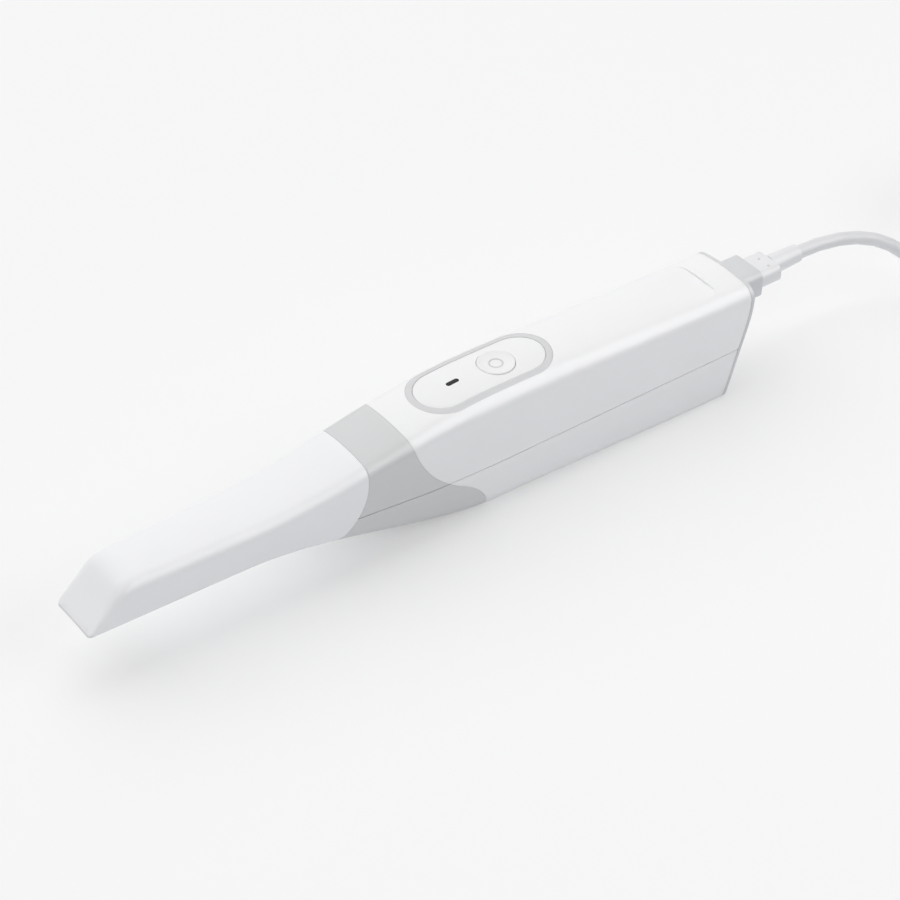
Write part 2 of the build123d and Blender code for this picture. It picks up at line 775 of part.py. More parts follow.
host_length, host_width, host_height = host_plug_size
host_level = host_height / 2 + fit_gap
tail_x = hank_rear + hank_reach
tail_points = [
    (tail_x, -hank_radius, layer_high),
    (tail_x + tail_steps[0], -hank_radius, layer_high),
    (tail_x + tail_steps[1], -tail_side, host_level),
    (tail_x + tail_steps[2], -tail_side, host_level),
]
cable_tail = tube(tail_points)
save("cable_tail", cable_tail, moved=False)

relief_x = tail_x + tail_steps[2]
body_x = relief_x + host_relief_length
shell_x = body_x + host_length
host_plug = flat_slot(relief_x, body_x, -tail_side, host_level, *host_relief_size, lead_diameter / 2)
host_grip = flat_slot(body_x, shell_x, -tail_side, host_level, host_width, host_height, host_corner)
host_plug = host_plug + host_grip
save("host_plug", host_plug, moved=False)
metal_length, metal_width, metal_height = host_shell_size
metal_x = shell_x + metal_length
host_shell = flat_slot(shell_x, metal_x, -tail_side, host_level, metal_width, metal_height, host_shell_corner)
hollow_size = (metal_width - 2 * host_shell_wall, metal_height - 2 * host_shell_wall, host_shell_corner / 2)
host_shell = host_shell - flat_slot(shell_x, metal_x, -tail_side, host_level, *hollow_size)
save("host_shell", host_shell, moved=False)

tie_loop = (2 * (hank_radius + lead_diameter / 2 + fit_gap), hank_high - hank_low + 2 * fit_gap)
tie_outer = [size + 2 * tie_thickness for size in tie_loop]
tie_start = (hank_front + hank_rear - tie_width) / 2
tie_end = tie_start + tie_width
coil_tie = flat_slot(tie_start, tie_end, 0, hank_middle, *tie_outer, lead_diameter / 2)
coil_tie = coil_tie - flat_slot(tie_start, tie_end, 0, hank_middle, *tie_loop, lead_diameter / 2)
save("coil_tie", coil_tie, moved=False)
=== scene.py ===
import json
import math
from collections import namedtuple
from functools import lru_cache

import bmesh
import bpy
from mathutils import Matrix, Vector


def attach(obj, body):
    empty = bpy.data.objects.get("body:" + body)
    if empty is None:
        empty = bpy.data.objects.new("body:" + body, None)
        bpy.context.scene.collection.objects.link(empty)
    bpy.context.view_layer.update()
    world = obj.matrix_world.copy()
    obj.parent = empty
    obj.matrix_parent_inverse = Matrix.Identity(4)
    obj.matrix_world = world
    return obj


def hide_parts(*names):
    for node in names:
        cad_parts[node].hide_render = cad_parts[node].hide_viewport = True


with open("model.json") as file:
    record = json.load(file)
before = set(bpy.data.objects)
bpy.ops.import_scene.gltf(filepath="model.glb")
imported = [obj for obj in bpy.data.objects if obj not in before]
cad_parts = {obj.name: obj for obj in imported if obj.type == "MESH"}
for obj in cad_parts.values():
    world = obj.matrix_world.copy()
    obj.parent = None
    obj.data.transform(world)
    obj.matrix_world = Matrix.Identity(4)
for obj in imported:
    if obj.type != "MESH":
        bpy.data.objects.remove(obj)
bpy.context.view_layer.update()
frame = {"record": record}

MM = 0.001

# Wand outline in millimetres. Stations run from the front of the tip to the rear.
WAND_LENGTH = 252.0
TIP_HALF_WIDTH = 9.7
BODY_HALF_WIDTH = 14.3
TAPER_END = 140.0
TIP_BOTTOM = 18.4
TIP_TOP = 32.7
BODY_TOP = 43.3
REAR_DROP = 3.0
REAR_DROP_START = 145.0
SWELL_START = 54.0
SWELL_END = 140.0
BELLY_START = 52.0
BELLY_END = 140.0
FOOT_TRIM = 0.25
CROWN_RADIUS = 55.0
REAR_CROWN_RADIUS = 65.0
TIP_TOP_RADIUS = 3.8
BODY_TOP_RADIUS = 6.2
REAR_TOP_RADIUS = 5.0
REAR_BLEND_START = 160.0
TIP_LOW_RADIUS = 1.6
BELLY_LOW_RADIUS = 7.5
REAR_LOW_RADIUS = 2.4
BELLY_PEAK = 128.0

# Walls, and the seams between the mouldings
SEAM = 0.06
PARTING_SEAM = 0.3
TIP_GAP = 0.08
SEAM_EDGE = 0.09
SHELL_WALL = 1.8
TIP_WALL = 1.3
TIP_EDGE = 93.3
TIP_ARC_TOP = 31.5
TIP_ARC_RADIUS = 18.5
TIP_ARC_TURN = math.radians(66.0)
COLLAR_EDGE = [
    (108.5, 42.0),
    (111.2, 31.5),
    (116.6, 22.7),
    (123.5, 16.6),
    (130.6, 12.2),
    (135.0, 7.0),
    (136.8, 0.0),
]
COLLAR_END_SLOPE = -0.15
PARTING_LEVEL = 17.6
PARTING_KNEE = 116.0
PARTING_RISE = 6.3 / 76.0
PARTING_RADIUS = 220.0
REAR_FOOT = (230.4, -3.0)
REAR_KNEE = (240.9, 31.0)
REAR_RADIUS = 36.0

# Tip front, with painted shade at its lower edge (a grey band standing in for the shade under it) and the
# viewing window below
FRONT_SLANT = math.radians(46.0)
FRONT_BASE = -0.55
FRONT_ROUND_LOW = 1.5
FRONT_ROUND_TOP = 4.4
# Heights above the tip's bottom at which the painted shade is full and at which it ends
RIM_SHADE_LOW = 0.5
RIM_SHADE_HIGH = 1.1
WINDOW_START = 3.2
WINDOW_LENGTH = 15.0
WINDOW_WIDTH = 13.6
WINDOW_CORNER = 2.0
WINDOW_CUT = 2.6 * TIP_WALL

# Control panel. Edges are steps of (inset, depth below the skin).
PANEL_FRONT = 128.8
PANEL_REAR = 157.6
PANEL_MARGIN = 15.5
RING_OUTER = 10.9
RING_INNER = 8.75
RING_SEAT = 0.05
RING_EDGE = [(0.0, 1.2), (0.0, 0.2), (0.06, 0.06), (0.2, 0.0)]
RING_FIELD = (0.3, 0.5, 0.7)
PLATE_GAP = 0.1
PLATE_SINK = 0.1
PLATE_EDGE = [(0.0, 3.0), (0.0, 0.25), (0.05, 0.14), (0.18, PLATE_SINK)]
PLATE_FIELD = 0.3
PLATE_HOLE_ROUND = 0.2
PLATE_HOLE_EDGE = [(PLATE_HOLE_ROUND, PLATE_SINK), (0.06, 0.14), (0.0, 0.3), (0.0, 3.0)]

# Scan button with its stem and flange, its ring mark, and the indicator dash.
# The dash goes in by steps of (share of its half width, depth below the skin).
BUTTON_STATION = 149.4
BUTTON_RADIUS = 6.0
BUTTON_DISH = 0.55
BUTTON_GAP = 0.12
BUTTON_EDGE = 0.35
BUTTON_RIM = 0.45
BUTTON_RIM_DROP = 0.02
STEM_RADIUS = 1.6
STEM_DEPTH = 5.0
FLANGE_RADIUS = 7.3
FLANGE_LOW = 4.25
FLANGE_HIGH = 3.5
MARK_RADIUS = 2.4
MARK_WIDTH = 0.55
MARK_EDGE = 0.12
MARK_RISE = 0.05
MARK_DEPTH = 0.3
DASH_STATION = 133.0
DASH_LENGTH = 4.6
DASH_WIDTH = 1.8
DASH_STEPS = [(1.0, 3.0), (1.0, 0.12), (0.9, 0.06), (0.7, 0.05), (0.35, 0.05), (0.0, 0.05)]

# Thumb scoop at the rear. Its step goes down by (inset, share of the depth).
SCOOP_REAR = 230.8
SCOOP_HALF_WIDTH = 9.5
SCOOP_CORNER = 3.2
SCOOP_DEPTH = 0.8
SCOOP_LENGTH = 30.0
SCOOP_LIP = 0.3
SCOOP_STEP = [(0.2, 0.12), (0.3, 0.5), (0.4, 0.88), (0.7, 1.0)]
SCOOP_BLOCK = (196.0, 236.0)

# Lead, with its hank and its tail. Its length is in metres, and its places are from the wand's middle.
LEAD_DIAMETER = 4.6
LEAD_PITCH = 5.1
LEAD_LEVEL = 32.2
PLUG_REACH = 21.3
LEAD_START = WAND_LENGTH / 2 + PLUG_REACH
LEAD_RUN = 93.0
LEAD_STRAIGHT = 30.7
LEAD_LANDING = 22.0
TAIL_STEPS = (20.0, 52.0, 70.0)
TAIL_SIDE = 7.5
HANK_LAYERS = 7
HANK_RADIUS = 13.8
HANK_LENGTH = 72.0
HANK_FLOOR = 0.9
HANK_STEPS = 28
HOST_LEVEL = 4.1
FIT_GAP = 0.1

# Ribs on the far plug, placed from the wand's middle, and dots on the near plug, placed by station
RIB_COUNT = 5
RIB_PITCH = 2.8
RIB_LENGTH = 9.6
RIB_ROUND = 0.6
RIB_START = (408.0, -12.3, 7.9)
DOT_COUNT = 2
DOT_STATION = 258.1
DOT_SPACING = 4.6
DOT_MIDDLE = -0.8
DOT_RADIUS = 0.45
DOT_DEPTH = 0.3
DOT_SINK = 0.1
PLUG_TOP = 35.3

# Fineness of the skins: points across each part of a section, along each moulding and round a circle
CROWN_STEPS = 10
BEND_STEPS = 10
SIDE_STEPS = 8
LOW_BEND_STEPS = 8
FOOT_STEPS = 4
PATCH_STEPS = 8
SCOOP_STEPS = 8
FRONT_ROUND_STEPS = 8
FRONT_FACE_STEPS = 5
PLATE_STEPS = 14
BUTTON_EDGE_STEPS = 5
BUTTON_DISH_STEPS = 14
SHELL_COLUMNS = 68
LOWER_COLUMNS = 60
COLLAR_COLUMNS = 14
COLLAR_LOW_COLUMNS = 30
TIP_COLUMNS = 46
PANEL_POINTS = 160
TURNED_POINTS = 96
DASH_POINTS = 48
POLE_RADIUS = 1e-4

# Stations at which the search for the front and rear edge of each moulding starts
UPPER_SEARCH = (112.0, 243.0)
LOWER_SEARCH = (130.0, 238.0)
COLLAR_SEARCH = (93.0, 110.0)
COLLAR_LOW_SEARCH = (86.0, 130.0)
TIP_SEARCH = (8.0, 90.0)

# Distances in metres below which points are one, and edges are none
MERGE_REACH = 2e-6
THIN_EDGE = 1e-6

# Finishes: the size and strength of the cloudiness, and of the fine moulded grain
CLOUD_SCALE = 60.0
CLOUD_TINT = 0.015
CLOUD_GLOSS = 0.05
GRAIN_SCALE = 2600.0
GRAIN_DEPTH = 0.00004
METAL_SCALE = 12.0
METAL_TINT = 0.86
METAL_GLOSS = 0.08
METAL_POLISH = 0.03
# Painted shade: the grey of the band along the tip's lower edge, standing in for the shade under it
PAINTED_RIM_SHADE = (0.5, 0.5, 0.51)

# Camera, fitted to the photograph
CAMERA_PLACE = (-0.3456, -0.4786, 0.5044)
CAMERA_AZIMUTH = math.radians(-36.312)
CAMERA_ELEVATION = math.radians(39.37)
CAMERA_LENS = 100.14
SENSOR = 36.0

# Floor: the pale grey that shows, its own share of brightness, and the white that it throws on the wand
FLOOR_REACH = 12.0
FLOOR_COLOUR = (0.64, 0.64, 0.64, 1.0)
FLOOR_GLOW = 0.33
FLOOR_BOUNCE = (0.96, 0.975, 1.0, 1.0)

# World: its colour, the level that lights the wand, and the level that shows behind it and in mirrors
WORLD_COLOUR = (0.985, 0.99, 1.0, 1.0)
WORLD_LIGHT = 0.33
WORLD_SEEN = 0.9

# Lamps: what they are aimed at, and the place that the near top edge mirrors to the camera
MIDDLE = (0.0, 0.0, 0.03)
EDGE_LAMP = (0.45, -0.65, 0.65)

Section = namedtuple("Section", "width low hub corner upper lower crown lean")


def ease(t):
    t = min(max(t, 0.0), 1.0)
    return t * t * (3.0 - 2.0 * t)


def fade(station, start, end, first, last):
    return first + (last - first) * ease((station - start) / (end - start))


def half_width(station):
    share = min(max(station / TAPER_END, 0.0), 1.0)
    return TIP_HALF_WIDTH + (BODY_HALF_WIDTH - TIP_HALF_WIDTH) * share


def bottom_line(station):
    return fade(station, BELLY_START, BELLY_END, TIP_BOTTOM, -FOOT_TRIM)


def top_line(station):
    swell = fade(station, SWELL_START, SWELL_END, TIP_TOP, BODY_TOP)
    return swell - fade(station, REAR_DROP_START, REAR_KNEE[0], 0.0, REAR_DROP)


def low_radius(station):
    if station < BELLY_PEAK:
        return fade(station, SWELL_START, BELLY_PEAK, TIP_LOW_RADIUS, BELLY_LOW_RADIUS)
    return fade(station, BELLY_PEAK, REAR_KNEE[0], BELLY_LOW_RADIUS, REAR_LOW_RADIUS)


def top_radius(station):
    if station < REAR_BLEND_START:
        return fade(station, TIP_EDGE, SWELL_END, TIP_TOP_RADIUS, BODY_TOP_RADIUS)
    return fade(station, REAR_BLEND_START, REAR_KNEE[0], BODY_TOP_RADIUS, REAR_TOP_RADIUS)


@lru_cache(maxsize=None)
def section(station):
    """Cross-section: half width, bottom, height of the crown's centre and of the corner's centre,
    radii of the upper corner, the lower corner and the crown, and the angle that the crown takes up."""
    width = half_width(station)
    upper = top_radius(station)
    crown = fade(station, REAR_BLEND_START, REAR_KNEE[0], CROWN_RADIUS, REAR_CROWN_RADIUS)
    hub = top_line(station) - crown
    lean = math.asin((width - upper) / (crown - upper))
    corner = hub + (crown - upper) * math.cos(lean)
    return Section(width, bottom_line(station), hub, corner, upper, low_radius(station), crown, lean)


def crown_length(station):
    cut = section(station)
    return cut.crown * cut.lean


def bend_length(station):
    cut = section(station)
    return cut.upper * (math.pi / 2 - cut.lean)


def on_top(station, along):
    """Point of the skin at a signed distance along the section from the middle of the crown."""
    cut = section(station)
    reach = abs(along)
    sign = math.copysign(1.0, along)
    if reach <= crown_length(station):
        angle = reach / cut.crown
        return station, sign * cut.crown * math.sin(angle), cut.hub + cut.crown * math.cos(angle)
    reach -= crown_length(station)
    if reach <= bend_length(station):
        angle = cut.lean + reach / cut.upper
        side = cut.width - cut.upper + cut.upper * math.sin(angle)
        return station, sign * side, cut.corner + cut.upper * math.cos(angle)
    return station, sign * cut.width, cut.corner - (reach - bend_length(station))


def along_at(station, y):
    """Signed distance along the section from the crown's middle to a point straight above y."""
    cut = section(station)
    reach = abs(y)
    if reach <= cut.crown * math.sin(cut.lean):
        return math.copysign(cut.crown * math.asin(reach / cut.crown), y)
    angle = math.asin(min(1.0, (reach - cut.width + cut.upper) / cut.upper))
    return math.copysign(crown_length(station) + cut.upper * (angle - cut.lean), y)


def top_point(station, y, sink=0.0):
    """Point of the skin above a place in plan, or a little below the skin."""
    x, side, z = on_top(station, along_at(station, y))
    return x, side, z - sink


def parting(station):
    """Height of the line between the upper and the lower mouldings."""
    turn = PARTING_RADIUS * math.tan(math.atan(PARTING_RISE) / 2)
    if station < PARTING_KNEE - turn:
        return PARTING_LEVEL + (PARTING_KNEE - station) * PARTING_RISE
    if station > PARTING_KNEE + turn:
        return PARTING_LEVEL
    return PARTING_LEVEL + (PARTING_KNEE + turn - station) ** 2 / (2 * PARTING_RADIUS)


def tip_line(z):
    """Station of the rear edge of the tip at a height."""
    if z >= TIP_ARC_TOP:
        return TIP_EDGE
    hub = TIP_EDGE - TIP_ARC_RADIUS
    end = TIP_ARC_TOP - TIP_ARC_RADIUS * math.sin(TIP_ARC_TURN)
    if z >= end:
        return hub + math.sqrt(TIP_ARC_RADIUS ** 2 - (TIP_ARC_TOP - z) ** 2)
    return hub + TIP_ARC_RADIUS * math.cos(TIP_ARC_TURN) - (end - z) * math.tan(TIP_ARC_TURN)


def collar_line(z):
    """Station of the rear edge of the collar at a height, a smooth line through its points."""
    points = COLLAR_EDGE
    if z >= points[0][1]:
        return points[0][0]
    if z <= points[-1][1]:
        return points[-1][0]

    def slope(i):
        if i == 0:
            return 0.0
        if i == len(points) - 1:
            return COLLAR_END_SLOPE
        return (points[i + 1][0] - points[i - 1][0]) / (points[i + 1][1] - points[i - 1][1])

    for i in range(len(points) - 1):
        (xa, za), (xb, zb) = points[i], points[i + 1]
        if zb <= z <= za:
            t = (z - za) / (zb - za)
            span = zb - za
            cube = 2 * t ** 3 - 3 * t ** 2
            start = (cube + 1) * xa + (t ** 3 - 2 * t ** 2 + t) * span * slope(i)
            return start - cube * xb + (t ** 3 - t ** 2) * span * slope(i + 1)


def shell_front(z):
    """Station at which the shells start, a seam behind the collar."""
    return collar_line(z) + SEAM


def collar_front(z):
    """Station at which the collar starts, a gap behind the tip."""
    return tip_line(z) + TIP_GAP


def rear_line(z):
    """Station of the rear edge of the shells at a height."""
    lean = math.atan((REAR_KNEE[0] - REAR_FOOT[0]) / (REAR_KNEE[1] - REAR_FOOT[1]))
    turn = REAR_RADIUS * math.tan(lean / 2)
    if z >= REAR_KNEE[1] + turn:
        return REAR_KNEE[0]
    if z <= REAR_KNEE[1] - turn * math.cos(lean):
        return REAR_FOOT[0] + (z - REAR_FOOT[1]) * math.tan(lean)
    drop = REAR_KNEE[1] + turn - z
    return REAR_KNEE[0] - REAR_RADIUS + math.sqrt(REAR_RADIUS ** 2 - drop ** 2)


def front_line(z):
    """Station of the slanted front of the tip at a height."""
    return FRONT_BASE + (z - TIP_BOTTOM) / math.tan(FRONT_SLANT)


# A row runs lengthwise on the skin. It gives its point at a station, on the side that the sign names.
def crown_row(share, sign):
    return lambda station: on_top(station, sign * share * crown_length(station))


def bend_row(share, sign):
    return lambda station: on_top(station, sign * (crown_length(station) + share * bend_length(station)))


def upper_side_row(share, sign):
    def place(station):
        cut = section(station)
        end = parting(station) + PARTING_SEAM / 2
        return station, sign * cut.width, cut.corner + (end - cut.corner) * share
    return place


def lower_side_row(share, sign):
    def place(station):
        cut = section(station)
        start = parting(station) - PARTING_SEAM / 2
        return station, sign * cut.width, start + (cut.low + cut.lower - start) * share
    return place


def whole_side_row(share, sign):
    def place(station):
        cut = section(station)
        return station, sign * cut.width, cut.corner + (cut.low + cut.lower - cut.corner) * share
    return place


def low_bend_row(share, sign):
    def place(station):
        cut = section(station)
        angle = share * math.pi / 2
        side = cut.width - cut.lower + cut.lower * math.cos(angle)
        height = cut.low + cut.lower - cut.lower * math.sin(angle)
        return station, sign * side, max(height, 0.0)
    return place


def foot_row(share, sign):
    def place(station):
        cut = section(station)
        return station, sign * (cut.width - cut.lower) * (1 - share), max(cut.low, 0.0)
    return place


def shares(count, first=0):
    return [i / count for i in range(first, count + 1)]


def half_top_rows(sign):
    """Rows from the middle of the crown to the top of the side."""
    rows = [crown_row(s, sign) for s in shares(CROWN_STEPS, 1)]
    return rows + [bend_row(s, sign) for s in shares(BEND_STEPS, 1)]


def half_foot_rows(sign):
    """Rows from the bottom of the side to the middle of the foot."""
    rows = [low_bend_row(s, sign) for s in shares(LOW_BEND_STEPS, 1)]
    return rows + [foot_row(s, sign) for s in shares(FOOT_STEPS, 1)]


def upper_rows():
    """Rows from one parting line over the crown to the other."""
    halves = []
    for sign in (-1, 1):
        halves.append(half_top_rows(sign) + [upper_side_row(s, sign) for s in shares(SIDE_STEPS, 1)])
    near, far = halves
    return near[::-1] + [crown_row(0.0, 1)] + far


def lower_rows():
    """Rows from one parting line under the foot to the other."""
    halves = []
    for sign in (-1, 1):
        halves.append([lower_side_row(s, sign) for s in shares(SIDE_STEPS)] + half_foot_rows(sign))
    near, far = halves
    return near + far[::-1][1:]


def round_rows():
    """Rows all the way round, for the tip."""
    halves = []
    for sign in (-1, 1):
        side = [whole_side_row(s, sign) for s in shares(SIDE_STEPS, 1)]
        halves.append(half_top_rows(sign) + side + half_foot_rows(sign))
    near, far = halves
    return [crown_row(0.0, 1)] + far + near[::-1][1:]


def meet(row, line, guess, tries=60, pace=0.5):
    """Station at which a row of the skin reaches a dividing line."""
    station = guess
    for _ in range(tries):
        station += pace * (line(row(station)[2]) - station)
    return station


def to_frame(point):
    return Vector(((point[0] - WAND_LENGTH / 2) * MM, point[1] * MM, point[2] * MM))


def add_object(name, data):
    """Puts data into the scene as an object at the origin."""
    item = bpy.data.objects.new(name, data)
    bpy.context.collection.objects.link(item)
    return item


class Skin:
    """Collects points and faces of one moulding, in wand millimetres."""

    def __init__(self):
        self.points = []
        self.faces = []

    def add(self, point):
        self.points.append(point)
        return len(self.points) - 1

    def line(self, points):
        return [self.add(p) for p in points]

    def strip(self, first, second, closed=False):
        count = len(first) if closed else len(first) - 1
        for i in range(count):
            j = (i + 1) % len(first)
            self.faces.append((first[i], first[j], second[j], second[i]))

    def cover(self, lines, closed=False):
        for first, second in zip(lines, lines[1:]):
            self.strip(first, second, closed)

    def build(self, name):
        mesh = bpy.data.meshes.new(name)
        mesh.from_pydata([to_frame(p) for p in self.points], [], self.faces)
        bm = bmesh.new()
        bm.from_mesh(mesh)
        bmesh.ops.remove_doubles(bm, verts=bm.verts, dist=MERGE_REACH)
        bmesh.ops.dissolve_degenerate(bm, edges=bm.edges, dist=THIN_EDGE)
        bmesh.ops.recalc_face_normals(bm, faces=bm.faces)
        middle = sum((v.co for v in bm.verts), Vector()) / len(bm.verts)
        if sum(f.normal.dot(f.calc_center_median() - middle) * f.calc_area() for f in bm.faces) < 0:
            bmesh.ops.reverse_faces(bm, faces=bm.faces)
        bm.to_mesh(mesh)
        bm.free()
        return add_object(name, mesh)


def apply_modifiers(piece):
    graph = bpy.context.evaluated_depsgraph_get()
    mesh = bpy.data.meshes.new_from_object(piece.evaluated_get(graph))
    piece.modifiers.clear()
    piece.data = mesh


def soften(piece, angle=35.0):
    """Smooth shading with sharp edges only at real corners."""
    mesh = piece.data
    mesh.shade_smooth()
    mesh.set_sharp_from_angle(angle=math.radians(angle))


def round_edges(piece, width, angle):
    """Rounds the edges that are sharper than an angle, and applies what the piece has been given."""
    bevel = piece.modifiers.new("edges", "BEVEL")
    bevel.width = width * MM
    bevel.segments = 3
    bevel.limit_method = "ANGLE"
    bevel.angle_limit = math.radians(angle)
    apply_modifiers(piece)


def thicken(piece, wall):
    """Gives a skin its wall and small rounded edges."""
    solid = piece.modifiers.new("wall", "SOLIDIFY")
    solid.thickness = wall * MM
    solid.offset = -1.0
    solid.use_even_offset = False
    round_edges(piece, SEAM_EDGE, angle=55.0)


def grid(rows, ends, guesses, columns):
    """Rows with their stations between two dividing lines, one list for each column."""
    spans = [tuple(meet(row, end, guess) for end, guess in zip(ends, guesses)) for row in rows]
    return [[(row, a + (b - a) * share) for row, (a, b) in zip(rows, spans)] for share in shares(columns)]


def round_outline(x, y, core, radius):
    """Point on a rounded outline, at a radius from its core rectangle, towards a point outside."""
    front, rear, half = core
    near_x = min(max(x, front), rear)
    near_y = min(max(y, -half), half)
    length = math.hypot(x - near_x, y - near_y)
    stretch = radius / length
    return near_x + (x - near_x) * stretch, near_y + (y - near_y) * stretch


def patch(skin, ring, core, radius):
    """Fills between a ring of grid points and a rounded outline, and gives back the outline's points."""
    outer = [skin.points[i] for i in ring]
    last = ring
    for share in shares(PATCH_STEPS, 1):
        loop = []
        for x, y, z in outer:
            xi, yi = round_outline(x, y, core, radius)
            along_outer = along_at(x, y)
            along_inner = along_at(xi, yi)
            loop.append(on_top(x + (xi - x) * share, along_outer + (along_inner - along_outer) * share))
        line = skin.line(loop)
        skin.strip(last, line, closed=True)
        last = line
    return last


def scoop_floor(x, y):
    """Height of the floor of the scoop, which never lies above the skin."""
    low = top_line(SCOOP_REAR) - SCOOP_DEPTH
    rise = top_line(SCOOP_REAR - SCOOP_LENGTH) - low
    return min(top_point(x, y)[2], low + (SCOOP_REAR - x) * rise / SCOOP_LENGTH)


def make_scoop(skin, ring):
    """The shallow thumb scoop: a step at its rear and sides, and a floor that runs out to the front."""
    front = SCOOP_REAR - SCOOP_LENGTH
    core = (front + SCOOP_CORNER, SCOOP_REAR - SCOOP_CORNER, SCOOP_HALF_WIDTH - SCOOP_CORNER)
    last = patch(skin, ring, core, SCOOP_CORNER + SCOOP_LIP)
    outline = [skin.points[i][:2] for i in last]
    for inset, depth in SCOOP_STEP:
        loop = []
        for x, y in outline:
            px, py = round_outline(x, y, core, SCOOP_CORNER + SCOOP_LIP - inset)
            top = top_point(px, py)[2]
            loop.append((px, py, top + (scoop_floor(px, py) - top) * depth))
        line = skin.line(loop)
        skin.strip(last, line, closed=True)
        last = line
    rim = [skin.points[i] for i in last]
    for share in shares(SCOOP_STEPS, 1):
        loop = []
        for x, y, z in rim:
            spine = min(max(x, front + SCOOP_HALF_WIDTH), SCOOP_REAR - SCOOP_HALF_WIDTH)
            px = x + (spine - x) * share
            py = y * (1 - share)
            loop.append((px, py, scoop_floor(px, py)))
        line = skin.line(loop)
        skin.strip(last, line, closed=True)
        last = line


def ring_of(lines, first, last, low, high):
    """Indices round a block of grid points, in order."""
    ring = [lines[i][low] for i in range(first, last)]
    ring += [lines[last][j] for j in range(low, high)]
    ring += [lines[i][high] for i in range(last, first, -1)]
    ring += [lines[first][j] for j in range(high, low, -1)]
    return ring


def make_upper_shell(ends):
    """The upper shell: a grid of rows, with a patch round the panel and one round the scoop."""
    skin = Skin()
    rows = upper_rows()
    spots = grid(rows, ends, UPPER_SEARCH, SHELL_COLUMNS)
    lines = [skin.line([row(s) for row, s in line]) for line in spots]
    low = SIDE_STEPS
    high = len(rows) - 1 - low
    middle = len(rows) // 2
    stations = [line[middle][1] for line in spots]

    def column(station):
        return min(range(len(stations)), key=lambda i: abs(stations[i] - station))

    panel_block = (column(PANEL_FRONT - PANEL_MARGIN), column(PANEL_REAR + PANEL_MARGIN))
    scoop_block = tuple(column(station) for station in SCOOP_BLOCK)
    blocks = (panel_block, scoop_block)
    for i in range(SHELL_COLUMNS):
        inside = any(a <= i < b for a, b in blocks)
        for j in range(len(rows) - 1):
            if inside and low <= j < high:
                continue
            skin.faces.append((lines[i][j], lines[i + 1][j], lines[i + 1][j + 1], lines[i][j + 1]))
    panel_core = (PANEL_FRONT, PANEL_REAR, 0.0)
    patch(skin, ring_of(lines, *panel_block, low, high), panel_core, RING_OUTER + RING_SEAT)
    make_scoop(skin, ring_of(lines, *scoop_block, low, high))
    piece = skin.build("upper_shell_skin")
    thicken(piece, SHELL_WALL)
    soften(piece)
    return piece


def make_strip_piece(name, rows, ends, guesses, columns):
    """A moulding with no openings, from its rows and its two end lines."""
    skin = Skin()
    lines = [skin.line([row(s) for row, s in line]) for line in grid(rows, ends, guesses, columns)]
    skin.cover(lines)
    piece = skin.build(name)
    thicken(piece, SHELL_WALL)
    soften(piece)
    return piece


def front_round(z):
    """Size of the rounding between the front face of the tip and its skin at a height."""
    return fade(z, TIP_BOTTOM, TIP_TOP, FRONT_ROUND_LOW, FRONT_ROUND_TOP)


def make_tip_sleeve():
    """The tip: its skin from the rear edge, the rounding at the front, and the slanted front face."""
    skin = Skin()
    rows = round_rows()
    face_middle_z = (TIP_BOTTOM + TIP_TOP) / 2
    face_middle = Vector((front_line(face_middle_z), 0.0, face_middle_z))
    front_edges = [meet(row, front_line, TIP_SEARCH[0]) for row in rows]
    rounds = [front_round(row(a)[2]) for row, a in zip(rows, front_edges)]
    rear_edges = [meet(row, tip_line, TIP_SEARCH[1]) for row in rows]
    lines = []
    for share in shares(TIP_COLUMNS):
        line = []
        for row, a, b, bend in zip(rows, front_edges, rear_edges, rounds):
            line.append(row(b + (a + bend - b) * share))
        lines.append(skin.line(line))
    skirt = [Vector(skin.points[i]) for i in lines[-1]]
    edges = [Vector(row(a)) for row, a in zip(rows, front_edges)]
    inner = [e + (face_middle - e).normalized() * bend for e, bend in zip(edges, rounds)]
    for t in shares(FRONT_ROUND_STEPS, 1):
        loop = [(1 - t) ** 2 * a + 2 * t * (1 - t) * e + t * t * b for a, e, b in zip(skirt, edges, inner)]
        lines.append(skin.line([tuple(p) for p in loop]))
    for t in shares(FRONT_FACE_STEPS, 1):
        lines.append(skin.line([tuple(b + (face_middle - b) * t) for b in inner]))
    skin.cover(lines, closed=True)
    piece = skin.build("tip_sleeve_skin")
    thicken(piece, TIP_WALL)
    return piece


def rounded_block(name, centre, size, corner):
    """A block with rounded upright edges."""
    bm = bmesh.new()
    bmesh.ops.create_cube(bm, size=1.0)
    bmesh.ops.scale(bm, vec=Vector(size) * MM, verts=bm.verts)
    upright = [e for e in bm.edges if abs((e.verts[0].co - e.verts[1].co).normalized().z) > 0.9]
    bmesh.ops.bevel(bm, geom=upright, offset=corner * MM, segments=6, affect="EDGES", profile=0.5)
    bmesh.ops.translate(bm, vec=to_frame(centre), verts=bm.verts)
    mesh = bpy.data.meshes.new(name)
    bm.to_mesh(mesh)
    bm.free()
    return add_object(name, mesh)


def cut_window(piece):
    """Opens the viewing window in the underside of the tip."""
    centre = (WINDOW_START + WINDOW_LENGTH / 2, 0.0, TIP_BOTTOM)
    size = (WINDOW_LENGTH, WINDOW_WIDTH, WINDOW_CUT)
    cutter = rounded_block("window_cutter", centre, size, WINDOW_CORNER)
    cut = piece.modifiers.new("window", "BOOLEAN")
    cut.operation = "DIFFERENCE"
    cut.solver = "EXACT"
    cut.object = cutter
    apply_modifiers(piece)
    bpy.data.objects.remove(cutter)
    soften(piece, angle=50.0)


